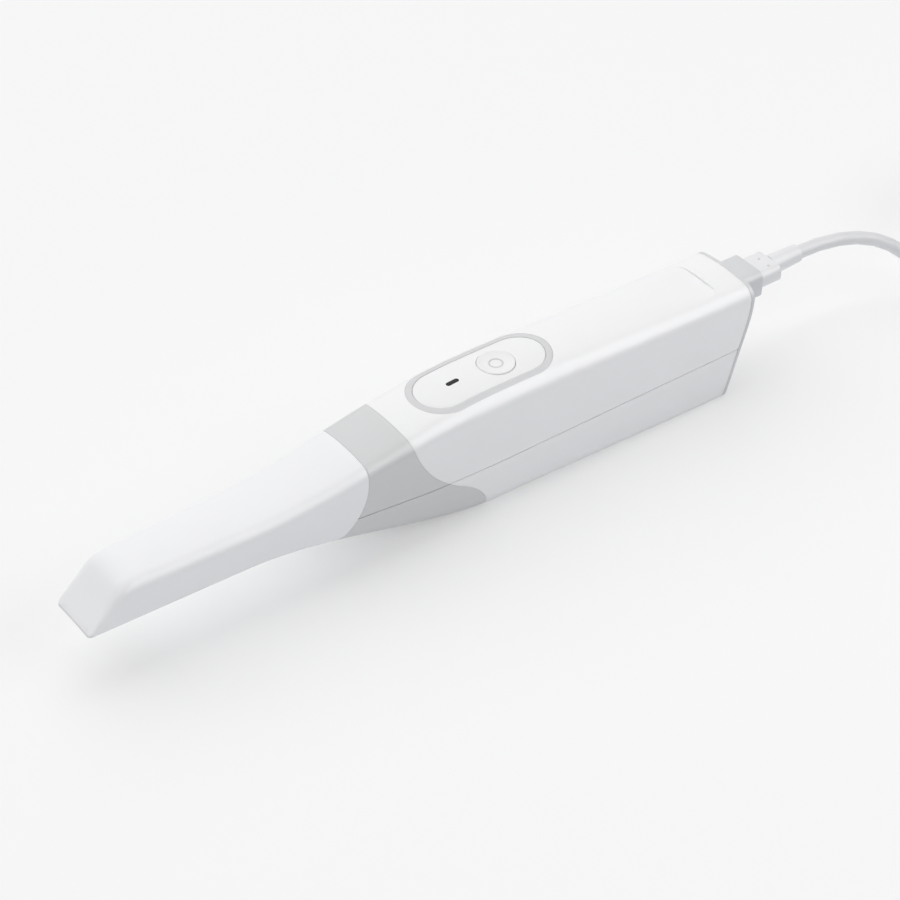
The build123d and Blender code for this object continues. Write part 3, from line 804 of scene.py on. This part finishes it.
def mark_painted_rim_shade(tip):
    """Notes on each point how near it lies to the lower edge of the tip, for the painted shade there: a
    grey band that stands in for the shade under that edge.
    """
    rim = tip.data.attributes.new("rim", "FLOAT", "POINT")
    for point, value in zip(tip.data.vertices, rim.data):
        station = point.co.x / MM + WAND_LENGTH / 2
        height = point.co.z / MM - bottom_line(station)
        bend = low_radius(station)
        beside = ease((abs(point.co.y) / MM - half_width(station) + bend) / bend)
        before = 1.0 - ease((station - FRONT_BASE) / FRONT_ROUND_LOW)
        value.value = max(beside, before) * (1.0 - ease((height - RIM_SHADE_LOW) / (RIM_SHADE_HIGH - RIM_SHADE_LOW)))


def slot_loop(radius, sink):
    """Points round the panel slot at a distance from its spine, laid on the crown."""
    straight = PANEL_REAR - PANEL_FRONT
    perimeter = 2 * straight + 2 * math.pi * radius
    loop = []
    for i in range(PANEL_POINTS):
        d = perimeter * i / PANEL_POINTS
        if d < straight:
            x, y = PANEL_FRONT + d, -radius
        elif d < straight + math.pi * radius:
            a = (d - straight) / radius - math.pi / 2
            x, y = PANEL_REAR + radius * math.cos(a), radius * math.sin(a)
        elif d < 2 * straight + math.pi * radius:
            x, y = PANEL_REAR - (d - straight - math.pi * radius), radius
        else:
            a = (d - 2 * straight - math.pi * radius) / radius + math.pi / 2
            x, y = PANEL_FRONT + radius * math.cos(a), radius * math.sin(a)
        loop.append(top_point(x, y, sink))
    return loop


def make_panel_ring():
    """The grey ring round the panel, from its outer wall over its top to its inner wall."""
    skin = Skin()
    profile = [(RING_OUTER - inset, sink) for inset, sink in RING_EDGE]
    profile += [(RING_OUTER + (RING_INNER - RING_OUTER) * share, 0.0) for share in RING_FIELD]
    profile += [(RING_INNER + inset, sink) for inset, sink in RING_EDGE[::-1]]
    lines = [skin.line(slot_loop(radius, sink)) for radius, sink in profile]
    skin.cover(lines + lines[:1], closed=True)
    piece = skin.build("panel_ring_skin")
    soften(piece, angle=50.0)
    return piece


def slot_reach(angle, radius):
    """Distance from the button's middle to the slot outline in a direction."""
    c, s = math.cos(angle), math.sin(angle)
    reach = radius / abs(s) if abs(s) > 1e-9 else 1e9
    x = BUTTON_STATION + reach * c
    if PANEL_FRONT <= x <= PANEL_REAR:
        return reach
    hub = (PANEL_REAR if c > 0 else PANEL_FRONT) - BUTTON_STATION
    along = c * hub
    return along + math.sqrt(max(along * along - hub * hub + radius * radius, 0.0))


def make_panel_plate():
    """The plate inside the ring, from its outer edge to the edge of the button's hole."""
    skin = Skin()
    hole = BUTTON_RADIUS + BUTTON_GAP
    hole_top = hole + PLATE_HOLE_ROUND
    outline = RING_INNER - PLATE_GAP
    angles = [2 * math.pi * i / PANEL_POINTS for i in range(PANEL_POINTS)]
    lines = []

    def loop(reaches, sink):
        points = []
        for a, reach in zip(angles, reaches):
            points.append(top_point(BUTTON_STATION + reach * math.cos(a), reach * math.sin(a), sink))
        lines.append(skin.line(points))

    for inset, sink in PLATE_EDGE:
        loop([slot_reach(a, outline - inset) for a in angles], sink)
    field = [slot_reach(a, outline - PLATE_FIELD) for a in angles]
    for step in range(1, PLATE_STEPS):
        share = 1 - step / PLATE_STEPS
        loop([hole_top + (reach - hole_top) * share for reach in field], PLATE_SINK)
    for inset, sink in PLATE_HOLE_EDGE:
        loop([hole + inset] * PANEL_POINTS, sink)
    skin.cover(lines + lines[:1], closed=True)
    piece = skin.build("panel_plate_skin")
    soften(piece, angle=50.0)
    return piece


def turned(name, profile, station):
    """A turned piece on an upright axis from (radius, height) points."""
    skin = Skin()
    lines = []
    for radius, height in profile:
        points = []
        for i in range(TURNED_POINTS):
            a = 2 * math.pi * i / TURNED_POINTS
            points.append((station + radius * math.cos(a), radius * math.sin(a), height))
        lines.append(skin.line(points))
    skin.cover(lines, closed=True)
    piece = skin.build(name)
    soften(piece, angle=40.0)
    return piece


def make_scan_button():
    """The button, from the end of its stem over its flange and wall to the middle of its dish."""
    top = top_line(BUTTON_STATION)
    profile = [
        (POLE_RADIUS, top - STEM_DEPTH),
        (STEM_RADIUS, top - STEM_DEPTH),
        (STEM_RADIUS, top - FLANGE_LOW),
        (FLANGE_RADIUS, top - FLANGE_LOW),
        (FLANGE_RADIUS, top - FLANGE_HIGH),
        (BUTTON_RADIUS, top - FLANGE_HIGH),
        (BUTTON_RADIUS, top - BUTTON_EDGE),
    ]
    for share in shares(BUTTON_EDGE_STEPS, 1):
        angle = math.pi / 2 * share
        inset = BUTTON_EDGE * (1 - math.cos(angle))
        profile.append((BUTTON_RADIUS - inset, top - BUTTON_EDGE + BUTTON_EDGE * math.sin(angle)))
    for share in shares(BUTTON_DISH_STEPS, 1):
        radius = (BUTTON_RADIUS - BUTTON_RIM) * (1 - share)
        dish = BUTTON_DISH * (1 - (radius / BUTTON_RADIUS) ** 2)
        profile.append((max(radius, POLE_RADIUS), top - BUTTON_RIM_DROP - dish))
    return turned("scan_button_cap", profile, BUTTON_STATION)


def make_button_mark():
    """The small ring printed on the button, a little proud of its dish."""
    top = top_line(BUTTON_STATION) - BUTTON_DISH * (1 - (MARK_RADIUS / BUTTON_RADIUS) ** 2)
    inner = MARK_RADIUS - MARK_WIDTH
    profile = [
        (MARK_RADIUS, top - MARK_DEPTH),
        (MARK_RADIUS, top),
        (MARK_RADIUS - MARK_EDGE, top + MARK_RISE),
        (inner + MARK_EDGE, top + MARK_RISE),
        (inner, top),
        (inner, top - MARK_DEPTH),
        (MARK_RADIUS, top - MARK_DEPTH),
    ]
    return turned("button_mark_ring", profile, BUTTON_STATION)


def make_indicator_window():
    """The dark dash, from its underside over its edge to its spine."""
    skin = Skin()
    half = (DASH_LENGTH - DASH_WIDTH) / 2
    lines = []
    for share, sink in DASH_STEPS:
        radius = share * DASH_WIDTH / 2
        points = []
        for i in range(DASH_POINTS):
            a = 2 * math.pi * i / DASH_POINTS
            spine = DASH_STATION + (half if math.cos(a) > 0 else -half)
            points.append(top_point(spine + radius * math.cos(a), radius * math.sin(a), sink))
        lines.append(skin.line(points))
    skin.cover(lines, closed=True)
    piece = skin.build("indicator_window_lens")
    soften(piece, angle=50.0)
    return piece


def smoothed(node, name, edge=0.0):
    """A merged, smooth-shaded copy of a CAD piece, with rounded edges if asked."""
    bm = bmesh.new()
    bm.from_mesh(bpy.data.objects[node].data)
    bmesh.ops.remove_doubles(bm, verts=bm.verts, dist=THIN_EDGE)
    bmesh.ops.dissolve_limit(bm, angle_limit=math.radians(0.5), verts=bm.verts, edges=bm.edges)
    mesh = bpy.data.meshes.new(name)
    bm.to_mesh(mesh)
    bm.free()
    piece = add_object(name, mesh)
    if edge:
        round_edges(piece, edge, angle=40.0)
    soften(piece)
    return piece


def hank_spot(distance, front):
    """Place on one turn of the hank, by the distance from its start: out, round, back and round."""
    fold = math.pi * HANK_RADIUS
    place = distance % (2 * (HANK_LENGTH + fold))
    if place < HANK_LENGTH:
        return front + place, -HANK_RADIUS
    place -= HANK_LENGTH
    if place < fold:
        angle = place / HANK_RADIUS - math.pi / 2
        return front + HANK_LENGTH + HANK_RADIUS * math.cos(angle), HANK_RADIUS * math.sin(angle)
    place -= fold
    if place < HANK_LENGTH:
        return front + HANK_LENGTH - place, HANK_RADIUS
    angle = (place - HANK_LENGTH) / HANK_RADIUS + math.pi / 2
    return front + HANK_RADIUS * math.cos(angle), HANK_RADIUS * math.sin(angle)


def lead_points():
    """The lead's route: out of the strain relief, down to the floor, round the hank, to the far plug."""
    low = HANK_FLOOR + LEAD_DIAMETER / 2
    high = low + LEAD_PITCH * (HANK_LAYERS - 1)
    reach = math.sqrt((HANK_RADIUS + LEAD_DIAMETER + FIT_GAP) ** 2 - HANK_RADIUS ** 2)
    front = LEAD_START + LEAD_RUN
    end = front - reach
    points = [(LEAD_START, 0, LEAD_LEVEL), (LEAD_START + LEAD_STRAIGHT, 0, LEAD_LEVEL)]
    points += [(end - LEAD_LANDING, -HANK_RADIUS, low), (end, -HANK_RADIUS, low)]
    turn = 2 * (HANK_LENGTH + math.pi * HANK_RADIUS)
    total = (HANK_LAYERS - 1) * turn + HANK_LENGTH
    steps = HANK_STEPS * HANK_LAYERS
    for step in range(steps + 1):
        distance = total * step / steps
        points.append((*hank_spot(distance, front), low + (high - low) * step / steps))
    tail = front + HANK_LENGTH + reach
    points += [(tail, -HANK_RADIUS, high), (tail + TAIL_STEPS[0], -HANK_RADIUS, high)]
    points += [(tail + step, -TAIL_SIDE, HOST_LEVEL) for step in TAIL_STEPS[1:]]
    return [Vector(p) * MM for p in points]


def make_lead():
    """The lead as a round cord along its route."""
    curve = bpy.data.curves.new("lead_cable", "CURVE")
    curve.dimensions = "3D"
    spline = curve.splines.new("NURBS")
    points = lead_points()
    spline.points.add(len(points) - 1)
    for knot, spot in zip(spline.points, points):
        knot.co = (*spot, 1.0)
    spline.order_u = 3
    spline.use_endpoint_u = True
    spline.resolution_u = 6
    curve.bevel_depth = LEAD_DIAMETER / 2 * MM
    curve.bevel_resolution = 6
    curve.use_fill_caps = True
    return add_object("lead_cable", curve)


def row_tree(name, unit):
    """Nodes that set a small piece down again and again along a straight row."""
    tree = bpy.data.node_groups.new(name, "GeometryNodeTree")
    for label, kind in [
        ("Count", "NodeSocketInt"),
        ("Start", "NodeSocketVector"),
        ("Step", "NodeSocketVector"),
        ("Reach", "NodeSocketFloat"),
        ("Thickness", "NodeSocketFloat"),
        ("Finish", "NodeSocketMaterial"),
    ]:
        tree.interface.new_socket(label, in_out="INPUT", socket_type=kind)
    tree.interface.new_socket("Geometry", in_out="OUTPUT", socket_type="NodeSocketGeometry")
    sizes = tree.nodes.new("NodeGroupInput")
    row = tree.nodes.new("GeometryNodeMeshLine")
    tree.links.new(sizes.outputs["Count"], row.inputs["Count"])
    tree.links.new(sizes.outputs["Start"], row.inputs["Start Location"])
    tree.links.new(sizes.outputs["Step"], row.inputs["Offset"])
    copies = tree.nodes.new("GeometryNodeInstanceOnPoints")
    tree.links.new(row.outputs["Mesh"], copies.inputs["Points"])
    tree.links.new(unit(tree, sizes), copies.inputs["Instance"])
    whole = tree.nodes.new("GeometryNodeRealizeInstances")
    tree.links.new(copies.outputs["Instances"], whole.inputs["Geometry"])
    finish = tree.nodes.new("GeometryNodeSetMaterial")
    tree.links.new(whole.outputs["Geometry"], finish.inputs["Geometry"])
    tree.links.new(sizes.outputs["Finish"], finish.inputs["Material"])
    result = tree.nodes.new("NodeGroupOutput")
    tree.links.new(finish.outputs["Geometry"], result.inputs["Geometry"])
    return tree


def rib_unit(tree, sizes):
    """A low bar across the far plug, with round ends."""
    spine = tree.nodes.new("GeometryNodeCurvePrimitiveLine")
    spine.mode = "DIRECTION"
    spine.inputs["Direction"].default_value = (0.0, 1.0, 0.0)
    tree.links.new(sizes.outputs["Reach"], spine.inputs["Length"])
    profile = tree.nodes.new("GeometryNodeCurvePrimitiveCircle")
    profile.inputs["Resolution"].default_value = 16
    tree.links.new(sizes.outputs["Thickness"], profile.inputs["Radius"])
    bar = tree.nodes.new("GeometryNodeCurveToMesh")
    bar.inputs["Fill Caps"].default_value = True
    tree.links.new(spine.outputs["Curve"], bar.inputs["Curve"])
    tree.links.new(profile.outputs["Curve"], bar.inputs["Profile Curve"])
    return bar.outputs["Mesh"]


def dot_unit(tree, sizes):
    """A small upright disc."""
    disc = tree.nodes.new("GeometryNodeMeshCylinder")
    disc.inputs["Vertices"].default_value = 24
    tree.links.new(sizes.outputs["Reach"], disc.inputs["Radius"])
    tree.links.new(sizes.outputs["Thickness"], disc.inputs["Depth"])
    return disc.outputs["Mesh"]


def make_row(name, tree, sizes):
    """A plain mesh from a row tree and the sizes that it is given."""
    piece = add_object(name, bpy.data.meshes.new(name))
    row = piece.modifiers.new("row", "NODES")
    row.node_group = tree
    for item in tree.interface.items_tree:
        if item.in_out == "INPUT":
            row[item.identifier] = sizes[item.name]
    apply_modifiers(piece)
    soften(piece, angle=40.0)
    return piece


def blank_finish(name):
    """A new material, with its nodes, its links and its shader."""
    material = bpy.data.materials.new(name)
    material.use_nodes = True
    tree = material.node_tree
    return material, tree.nodes, tree.links, tree.nodes["Principled BSDF"]


def plastic(name, colour, roughness, grain=0.12, shine=0.5):
    """Moulded plastic: slight cloudiness of colour and gloss, and a fine moulded grain."""
    material, nodes, links, shader = blank_finish(name)
    coordinates = nodes.new("ShaderNodeTexCoord")
    cloud = nodes.new("ShaderNodeTexNoise")
    cloud.inputs["Scale"].default_value = CLOUD_SCALE
    cloud.inputs["Detail"].default_value = 4.0
    links.new(coordinates.outputs["Object"], cloud.inputs["Vector"])
    tint = nodes.new("ShaderNodeMix")
    tint.data_type = "RGBA"
    tint.inputs["A"].default_value = (*[c * (1 - CLOUD_TINT) for c in colour], 1.0)
    tint.inputs["B"].default_value = (*[min(c * (1 + CLOUD_TINT), 1.0) for c in colour], 1.0)
    links.new(cloud.outputs["Fac"], tint.inputs["Factor"])
    links.new(tint.outputs["Result"], shader.inputs["Base Color"])
    gloss = nodes.new("ShaderNodeMapRange")
    gloss.inputs["To Min"].default_value = roughness - CLOUD_GLOSS
    gloss.inputs["To Max"].default_value = roughness + CLOUD_GLOSS
    links.new(cloud.outputs["Fac"], gloss.inputs["Value"])
    links.new(gloss.outputs["Result"], shader.inputs["Roughness"])
    fine = nodes.new("ShaderNodeTexNoise")
    fine.inputs["Scale"].default_value = GRAIN_SCALE
    fine.inputs["Detail"].default_value = 2.0
    links.new(coordinates.outputs["Object"], fine.inputs["Vector"])
    bump = nodes.new("ShaderNodeBump")
    bump.inputs["Strength"].default_value = grain
    bump.inputs["Distance"].default_value = GRAIN_DEPTH
    links.new(fine.outputs["Fac"], bump.inputs["Height"])
    links.new(bump.outputs["Normal"], shader.inputs["Normal"])
    shader.inputs["Specular IOR Level"].default_value = shine
    return material


def add_painted_rim_shade(material, colour):
    """Mixes a finish towards another colour where the piece's rim attribute is set: painted shade along
    the lower edge of the tip.
    """
    nodes = material.node_tree.nodes
    links = material.node_tree.links
    base = nodes["Principled BSDF"].inputs["Base Color"]
    plain = base.links[0].from_socket
    rim = nodes.new("ShaderNodeAttribute")
    rim.attribute_name = "rim"
    mix = nodes.new("ShaderNodeMix")
    mix.data_type = "RGBA"
    mix.inputs["B"].default_value = (*colour, 1.0)
    links.new(rim.outputs["Fac"], mix.inputs["Factor"])
    links.new(plain, mix.inputs["A"])
    links.new(mix.outputs["Result"], base)


def metal(name, colour, roughness, grain=(40.0, 40.0, 900.0)):
    """Plated or machined metal with a drawn or blasted grain."""
    material, nodes, links, shader = blank_finish(name)
    shader.inputs["Metallic"].default_value = 1.0
    coordinates = nodes.new("ShaderNodeTexCoord")
    stretch = nodes.new("ShaderNodeMapping")
    stretch.inputs["Scale"].default_value = grain
    links.new(coordinates.outputs["Object"], stretch.inputs["Vector"])
    noise = nodes.new("ShaderNodeTexNoise")
    noise.inputs["Scale"].default_value = METAL_SCALE
    noise.inputs["Detail"].default_value = 6.0
    links.new(stretch.outputs["Vector"], noise.inputs["Vector"])
    tint = nodes.new("ShaderNodeMix")
    tint.data_type = "RGBA"
    tint.inputs["A"].default_value = (*[c * METAL_TINT for c in colour], 1.0)
    tint.inputs["B"].default_value = (*colour, 1.0)
    links.new(noise.outputs["Fac"], tint.inputs["Factor"])
    links.new(tint.outputs["Result"], shader.inputs["Base Color"])
    gloss = nodes.new("ShaderNodeMapRange")
    gloss.inputs["To Min"].default_value = max(roughness - METAL_GLOSS, METAL_POLISH)
    gloss.inputs["To Max"].default_value = roughness + METAL_GLOSS
    links.new(noise.outputs["Fac"], gloss.inputs["Value"])
    links.new(gloss.outputs["Result"], shader.inputs["Roughness"])
    return material


def glass(name, colour, roughness=0.02):
    """Clear optical glass."""
    material, _, _, shader = blank_finish(name)
    shader.inputs["Base Color"].default_value = (*colour, 1.0)
    shader.inputs["Roughness"].default_value = roughness
    shader.inputs["Transmission Weight"].default_value = 1.0
    shader.inputs["IOR"].default_value = 1.52
    return material


def seen_rays(tree):
    """One where a ray comes from the camera, a mirror or glass, and nought where it lights a surface."""
    path = tree.nodes.new("ShaderNodeLightPath")
    mirrored = tree.nodes.new("ShaderNodeMath")
    mirrored.operation = "MAXIMUM"
    tree.links.new(path.outputs["Is Glossy Ray"], mirrored.inputs[0])
    tree.links.new(path.outputs["Is Transmission Ray"], mirrored.inputs[1])
    seen = tree.nodes.new("ShaderNodeMath")
    seen.operation = "MAXIMUM"
    tree.links.new(path.outputs["Is Camera Ray"], seen.inputs[0])
    tree.links.new(mirrored.outputs["Value"], seen.inputs[1])
    return seen.outputs["Value"]


def make_floor():
    """A plain matt floor, paler where it shows than its light on the wand would make it."""
    mesh = bpy.data.meshes.new("floor")
    far = FLOOR_REACH
    corners = [(-far, -far, 0), (far, -far, 0), (far, far, 0), (-far, far, 0)]
    mesh.from_pydata(corners, [], [(0, 1, 2, 3)])
    floor = add_object("floor", mesh)
    material, nodes, links, shader = blank_finish("pale_floor")
    seen = seen_rays(material.node_tree)
    shade = nodes.new("ShaderNodeMix")
    shade.data_type = "RGBA"
    shade.inputs["A"].default_value = FLOOR_BOUNCE
    shade.inputs["B"].default_value = FLOOR_COLOUR
    links.new(seen, shade.inputs["Factor"])
    links.new(shade.outputs["Result"], shader.inputs["Base Color"])
    glow = nodes.new("ShaderNodeMath")
    glow.operation = "MULTIPLY"
    glow.inputs[1].default_value = FLOOR_GLOW
    links.new(seen, glow.inputs[0])
    shader.inputs["Emission Color"].default_value = (1.0, 1.0, 1.0, 1.0)
    links.new(glow.outputs["Value"], shader.inputs["Emission Strength"])
    shader.inputs["Roughness"].default_value = 0.6
    shader.inputs["Specular IOR Level"].default_value = 0.0
    mesh.materials.append(material)


def make_lamp(name, place, size, power):
    """A soft rectangular lamp aimed at the wand."""
    lamp = bpy.data.lights.new(name, "AREA")
    lamp.shape = "RECTANGLE"
    lamp.size, lamp.size_y = size
    lamp.energy = power
    holder = add_object(name, lamp)
    holder.location = place
    aim = Vector(MIDDLE) - Vector(place)
    holder.rotation_euler = aim.to_track_quat("-Z", "Y").to_euler()
    return holder


def make_world():
    """Even light from all round, at one level on the wand and at another where it shows."""
    world = bpy.data.worlds.new("studio")
    world.use_nodes = True
    tree = world.node_tree
    background = tree.nodes["Background"]
    background.inputs["Color"].default_value = WORLD_COLOUR
    level = tree.nodes.new("ShaderNodeMapRange")
    level.inputs["To Min"].default_value = WORLD_LIGHT
    level.inputs["To Max"].default_value = WORLD_SEEN
    tree.links.new(seen_rays(tree), level.inputs["Value"])
    tree.links.new(level.outputs["Result"], background.inputs["Strength"])
    bpy.context.scene.world = world


def make_camera():
    """The camera, placed as it was for the photograph."""
    data = bpy.data.cameras.new("camera")
    data.lens = CAMERA_LENS
    data.sensor_width = SENSOR
    camera = add_object("camera", data)
    camera.location = CAMERA_PLACE
    camera.rotation_euler = (math.pi / 2 - CAMERA_ELEVATION, 0.0, CAMERA_AZIMUTH)
    bpy.context.scene.camera = camera


def dress(piece, body, slot, *nodes):
    """Gives a piece its finish and its body, and lets it stand for CAD nodes."""
    piece.data.materials.clear()
    piece.data.materials.append(finishes[slot])
    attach(piece, body)
    if nodes:
        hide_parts(*nodes)
    return piece


finishes = {
    "shell_white": plastic("shell_white_plastic", (0.90, 0.90, 0.905), 0.4),
    "tip_white": plastic("tip_white_plastic", (0.89, 0.892, 0.90), 0.5, grain=0.2),
    "collar_grey": plastic("collar_grey_plastic", (0.66, 0.664, 0.668), 0.45),
    "ring_grey": plastic("ring_grey_plastic", (0.66, 0.66, 0.67), 0.45),
    "panel_white": plastic("panel_white_plastic", (0.87, 0.87, 0.873), 0.36),
    "button_white": plastic("button_white_plastic", (0.85, 0.85, 0.853), 0.3),
    "mark_grey": plastic("button_mark_grey", (0.6, 0.6, 0.61), 0.45),
    "window_black": plastic("indicator_black", (0.008, 0.008, 0.009), 0.3, grain=0.02, shine=0.15),
    "rear_grey": plastic("rear_grey_plastic", (0.66, 0.665, 0.675), 0.45),
    "cord_white": plastic("lead_white_jacket", (0.74, 0.74, 0.748), 0.5, grain=0.2),
    "plug_white": plastic("plug_white_moulding", (0.80, 0.80, 0.81), 0.42),
    "tie_black": plastic("tie_black_weave", (0.03, 0.03, 0.032), 0.85, grain=0.9),
    "plug_metal": metal("plug_nickel", (0.72, 0.71, 0.69), 0.28),
    "mirror": metal("tip_mirror_silver", (0.93, 0.94, 0.95), 0.05),
    "optic_glass": glass("coated_optic_glass", (0.93, 0.97, 0.98)),
    "nose_black": plastic("nose_black_plastic", (0.02, 0.02, 0.022), 0.5, grain=0.35),
    "grip_rubber": plastic("grip_ring_rubber", (0.035, 0.035, 0.037), 0.75, grain=0.4),
    "chassis_metal": metal("chassis_aluminium", (0.66, 0.67, 0.68), 0.42, (300.0, 300.0, 300.0)),
    "barrel_black": metal("barrel_black_anodised", (0.05, 0.05, 0.055), 0.4),
    "board_green": plastic("board_green_mask", (0.02, 0.17, 0.07), 0.35),
    "chip_black": plastic("chip_black_resin", (0.02, 0.02, 0.02), 0.5),
    "led_white": plastic("light_source_phosphor", (0.9, 0.85, 0.55), 0.25),
    "screw_steel": metal("screw_zinc", (0.6, 0.6, 0.62), 0.3),
}

# Paints shade onto the tip: a grey band along its lower edge that stands in for the shade under it
add_painted_rim_shade(finishes["tip_white"], PAINTED_RIM_SHADE)

slot_of = {p["node"]: p["material_slot"] for p in frame["record"]["subparts"]}
for node, slot in slot_of.items():
    materials = bpy.data.objects[node].data.materials
    materials.clear()
    materials.append(finishes[slot])

shell_ends = (shell_front, rear_line)
collar_ends = (collar_front, collar_line)
upper_shell = make_upper_shell(shell_ends)
lower_shell = make_strip_piece(
    "lower_shell_skin", lower_rows(), shell_ends, LOWER_SEARCH, LOWER_COLUMNS
)
collar_upper = make_strip_piece(
    "collar_upper_skin", upper_rows(), collar_ends, COLLAR_SEARCH, COLLAR_COLUMNS
)
collar_lower = make_strip_piece(
    "collar_lower_skin", lower_rows(), collar_ends, COLLAR_LOW_SEARCH, COLLAR_LOW_COLUMNS
)
tip_sleeve = make_tip_sleeve()
cut_window(tip_sleeve)
mark_painted_rim_shade(tip_sleeve)

for piece, body, node in [
    (upper_shell, "handle", "upper_shell"),
    (lower_shell, "handle", "lower_shell"),
    (collar_upper, "handle", "collar_upper"),
    (collar_lower, "handle", "collar_lower"),
    (tip_sleeve, "tip", "tip_sleeve"),
    (make_panel_ring(), "handle", "panel_ring"),
    (make_panel_plate(), "handle", "panel_plate"),
    (make_scan_button(), "button", "scan_button"),
    (make_button_mark(), "button", "button_mark"),
    (make_indicator_window(), "handle", "indicator_window"),
]:
    dress(piece, body, slot_of[node], node)

for node, body, edge in [
    ("rear_cover", "handle", 0.0),
    ("port_block", "handle", 0.4),
    ("nose_tube", "handle", 0.0),
    ("grip_ring", "handle", 0.0),
    ("cable_plug", "lead", 0.5),
    ("host_plug", "lead", 0.5),
    ("coil_tie", "lead", 0.0),
]:
    dress(smoothed(node, node + "_dressed", edge), body, slot_of[node], node)

ribs = make_row("far_plug_ribs", row_tree("rows_of_ribs", rib_unit), {
    "Count": RIB_COUNT,
    "Start": Vector(RIB_START) * MM,
    "Step": (RIB_PITCH * MM, 0.0, 0.0),
    "Reach": RIB_LENGTH * MM,
    "Thickness": RIB_ROUND * MM,
    "Finish": finishes["plug_white"],
})
dress(ribs, "lead", "plug_white")
dots = make_row("plug_dots", row_tree("rows_of_dots", dot_unit), {
    "Count": DOT_COUNT,
    "Start": to_frame((DOT_STATION, DOT_MIDDLE - DOT_SPACING / 2, PLUG_TOP - DOT_SINK)),
    "Step": (0.0, DOT_SPACING * MM, 0.0),
    "Reach": DOT_RADIUS * MM,
    "Thickness": DOT_DEPTH * MM,
    "Finish": finishes["mark_grey"],
})
dress(dots, "lead", "mark_grey")

lead = dress(make_lead(), "lead", "cord_white", "cable", "cable_coil", "cable_tail")
on_lead = ["cable_plug_dressed", "host_plug_dressed", "coil_tie_dressed", "plug_shell", "host_shell"]
on_lead += ["far_plug_ribs", "plug_dots"]
lead_points()[0]

make_floor()
make_world()
make_lamp("overhead", place=(0.0, 1.2, 1.95), size=(4.2, 3.2), power=51.5)
make_lamp("edge_strip", place=EDGE_LAMP, size=(0.8, 0.4), power=1.7)
glint = make_lamp("edge_glint", place=EDGE_LAMP, size=(1.3, 0.9), power=19.0)
glint.visible_diffuse = False
make_lamp("front_fill", place=(-0.8, -0.25, 0.75), size=(1.0, 0.7), power=1.2)
make_camera()
bpy.context.scene.view_settings.view_transform = "Standard"
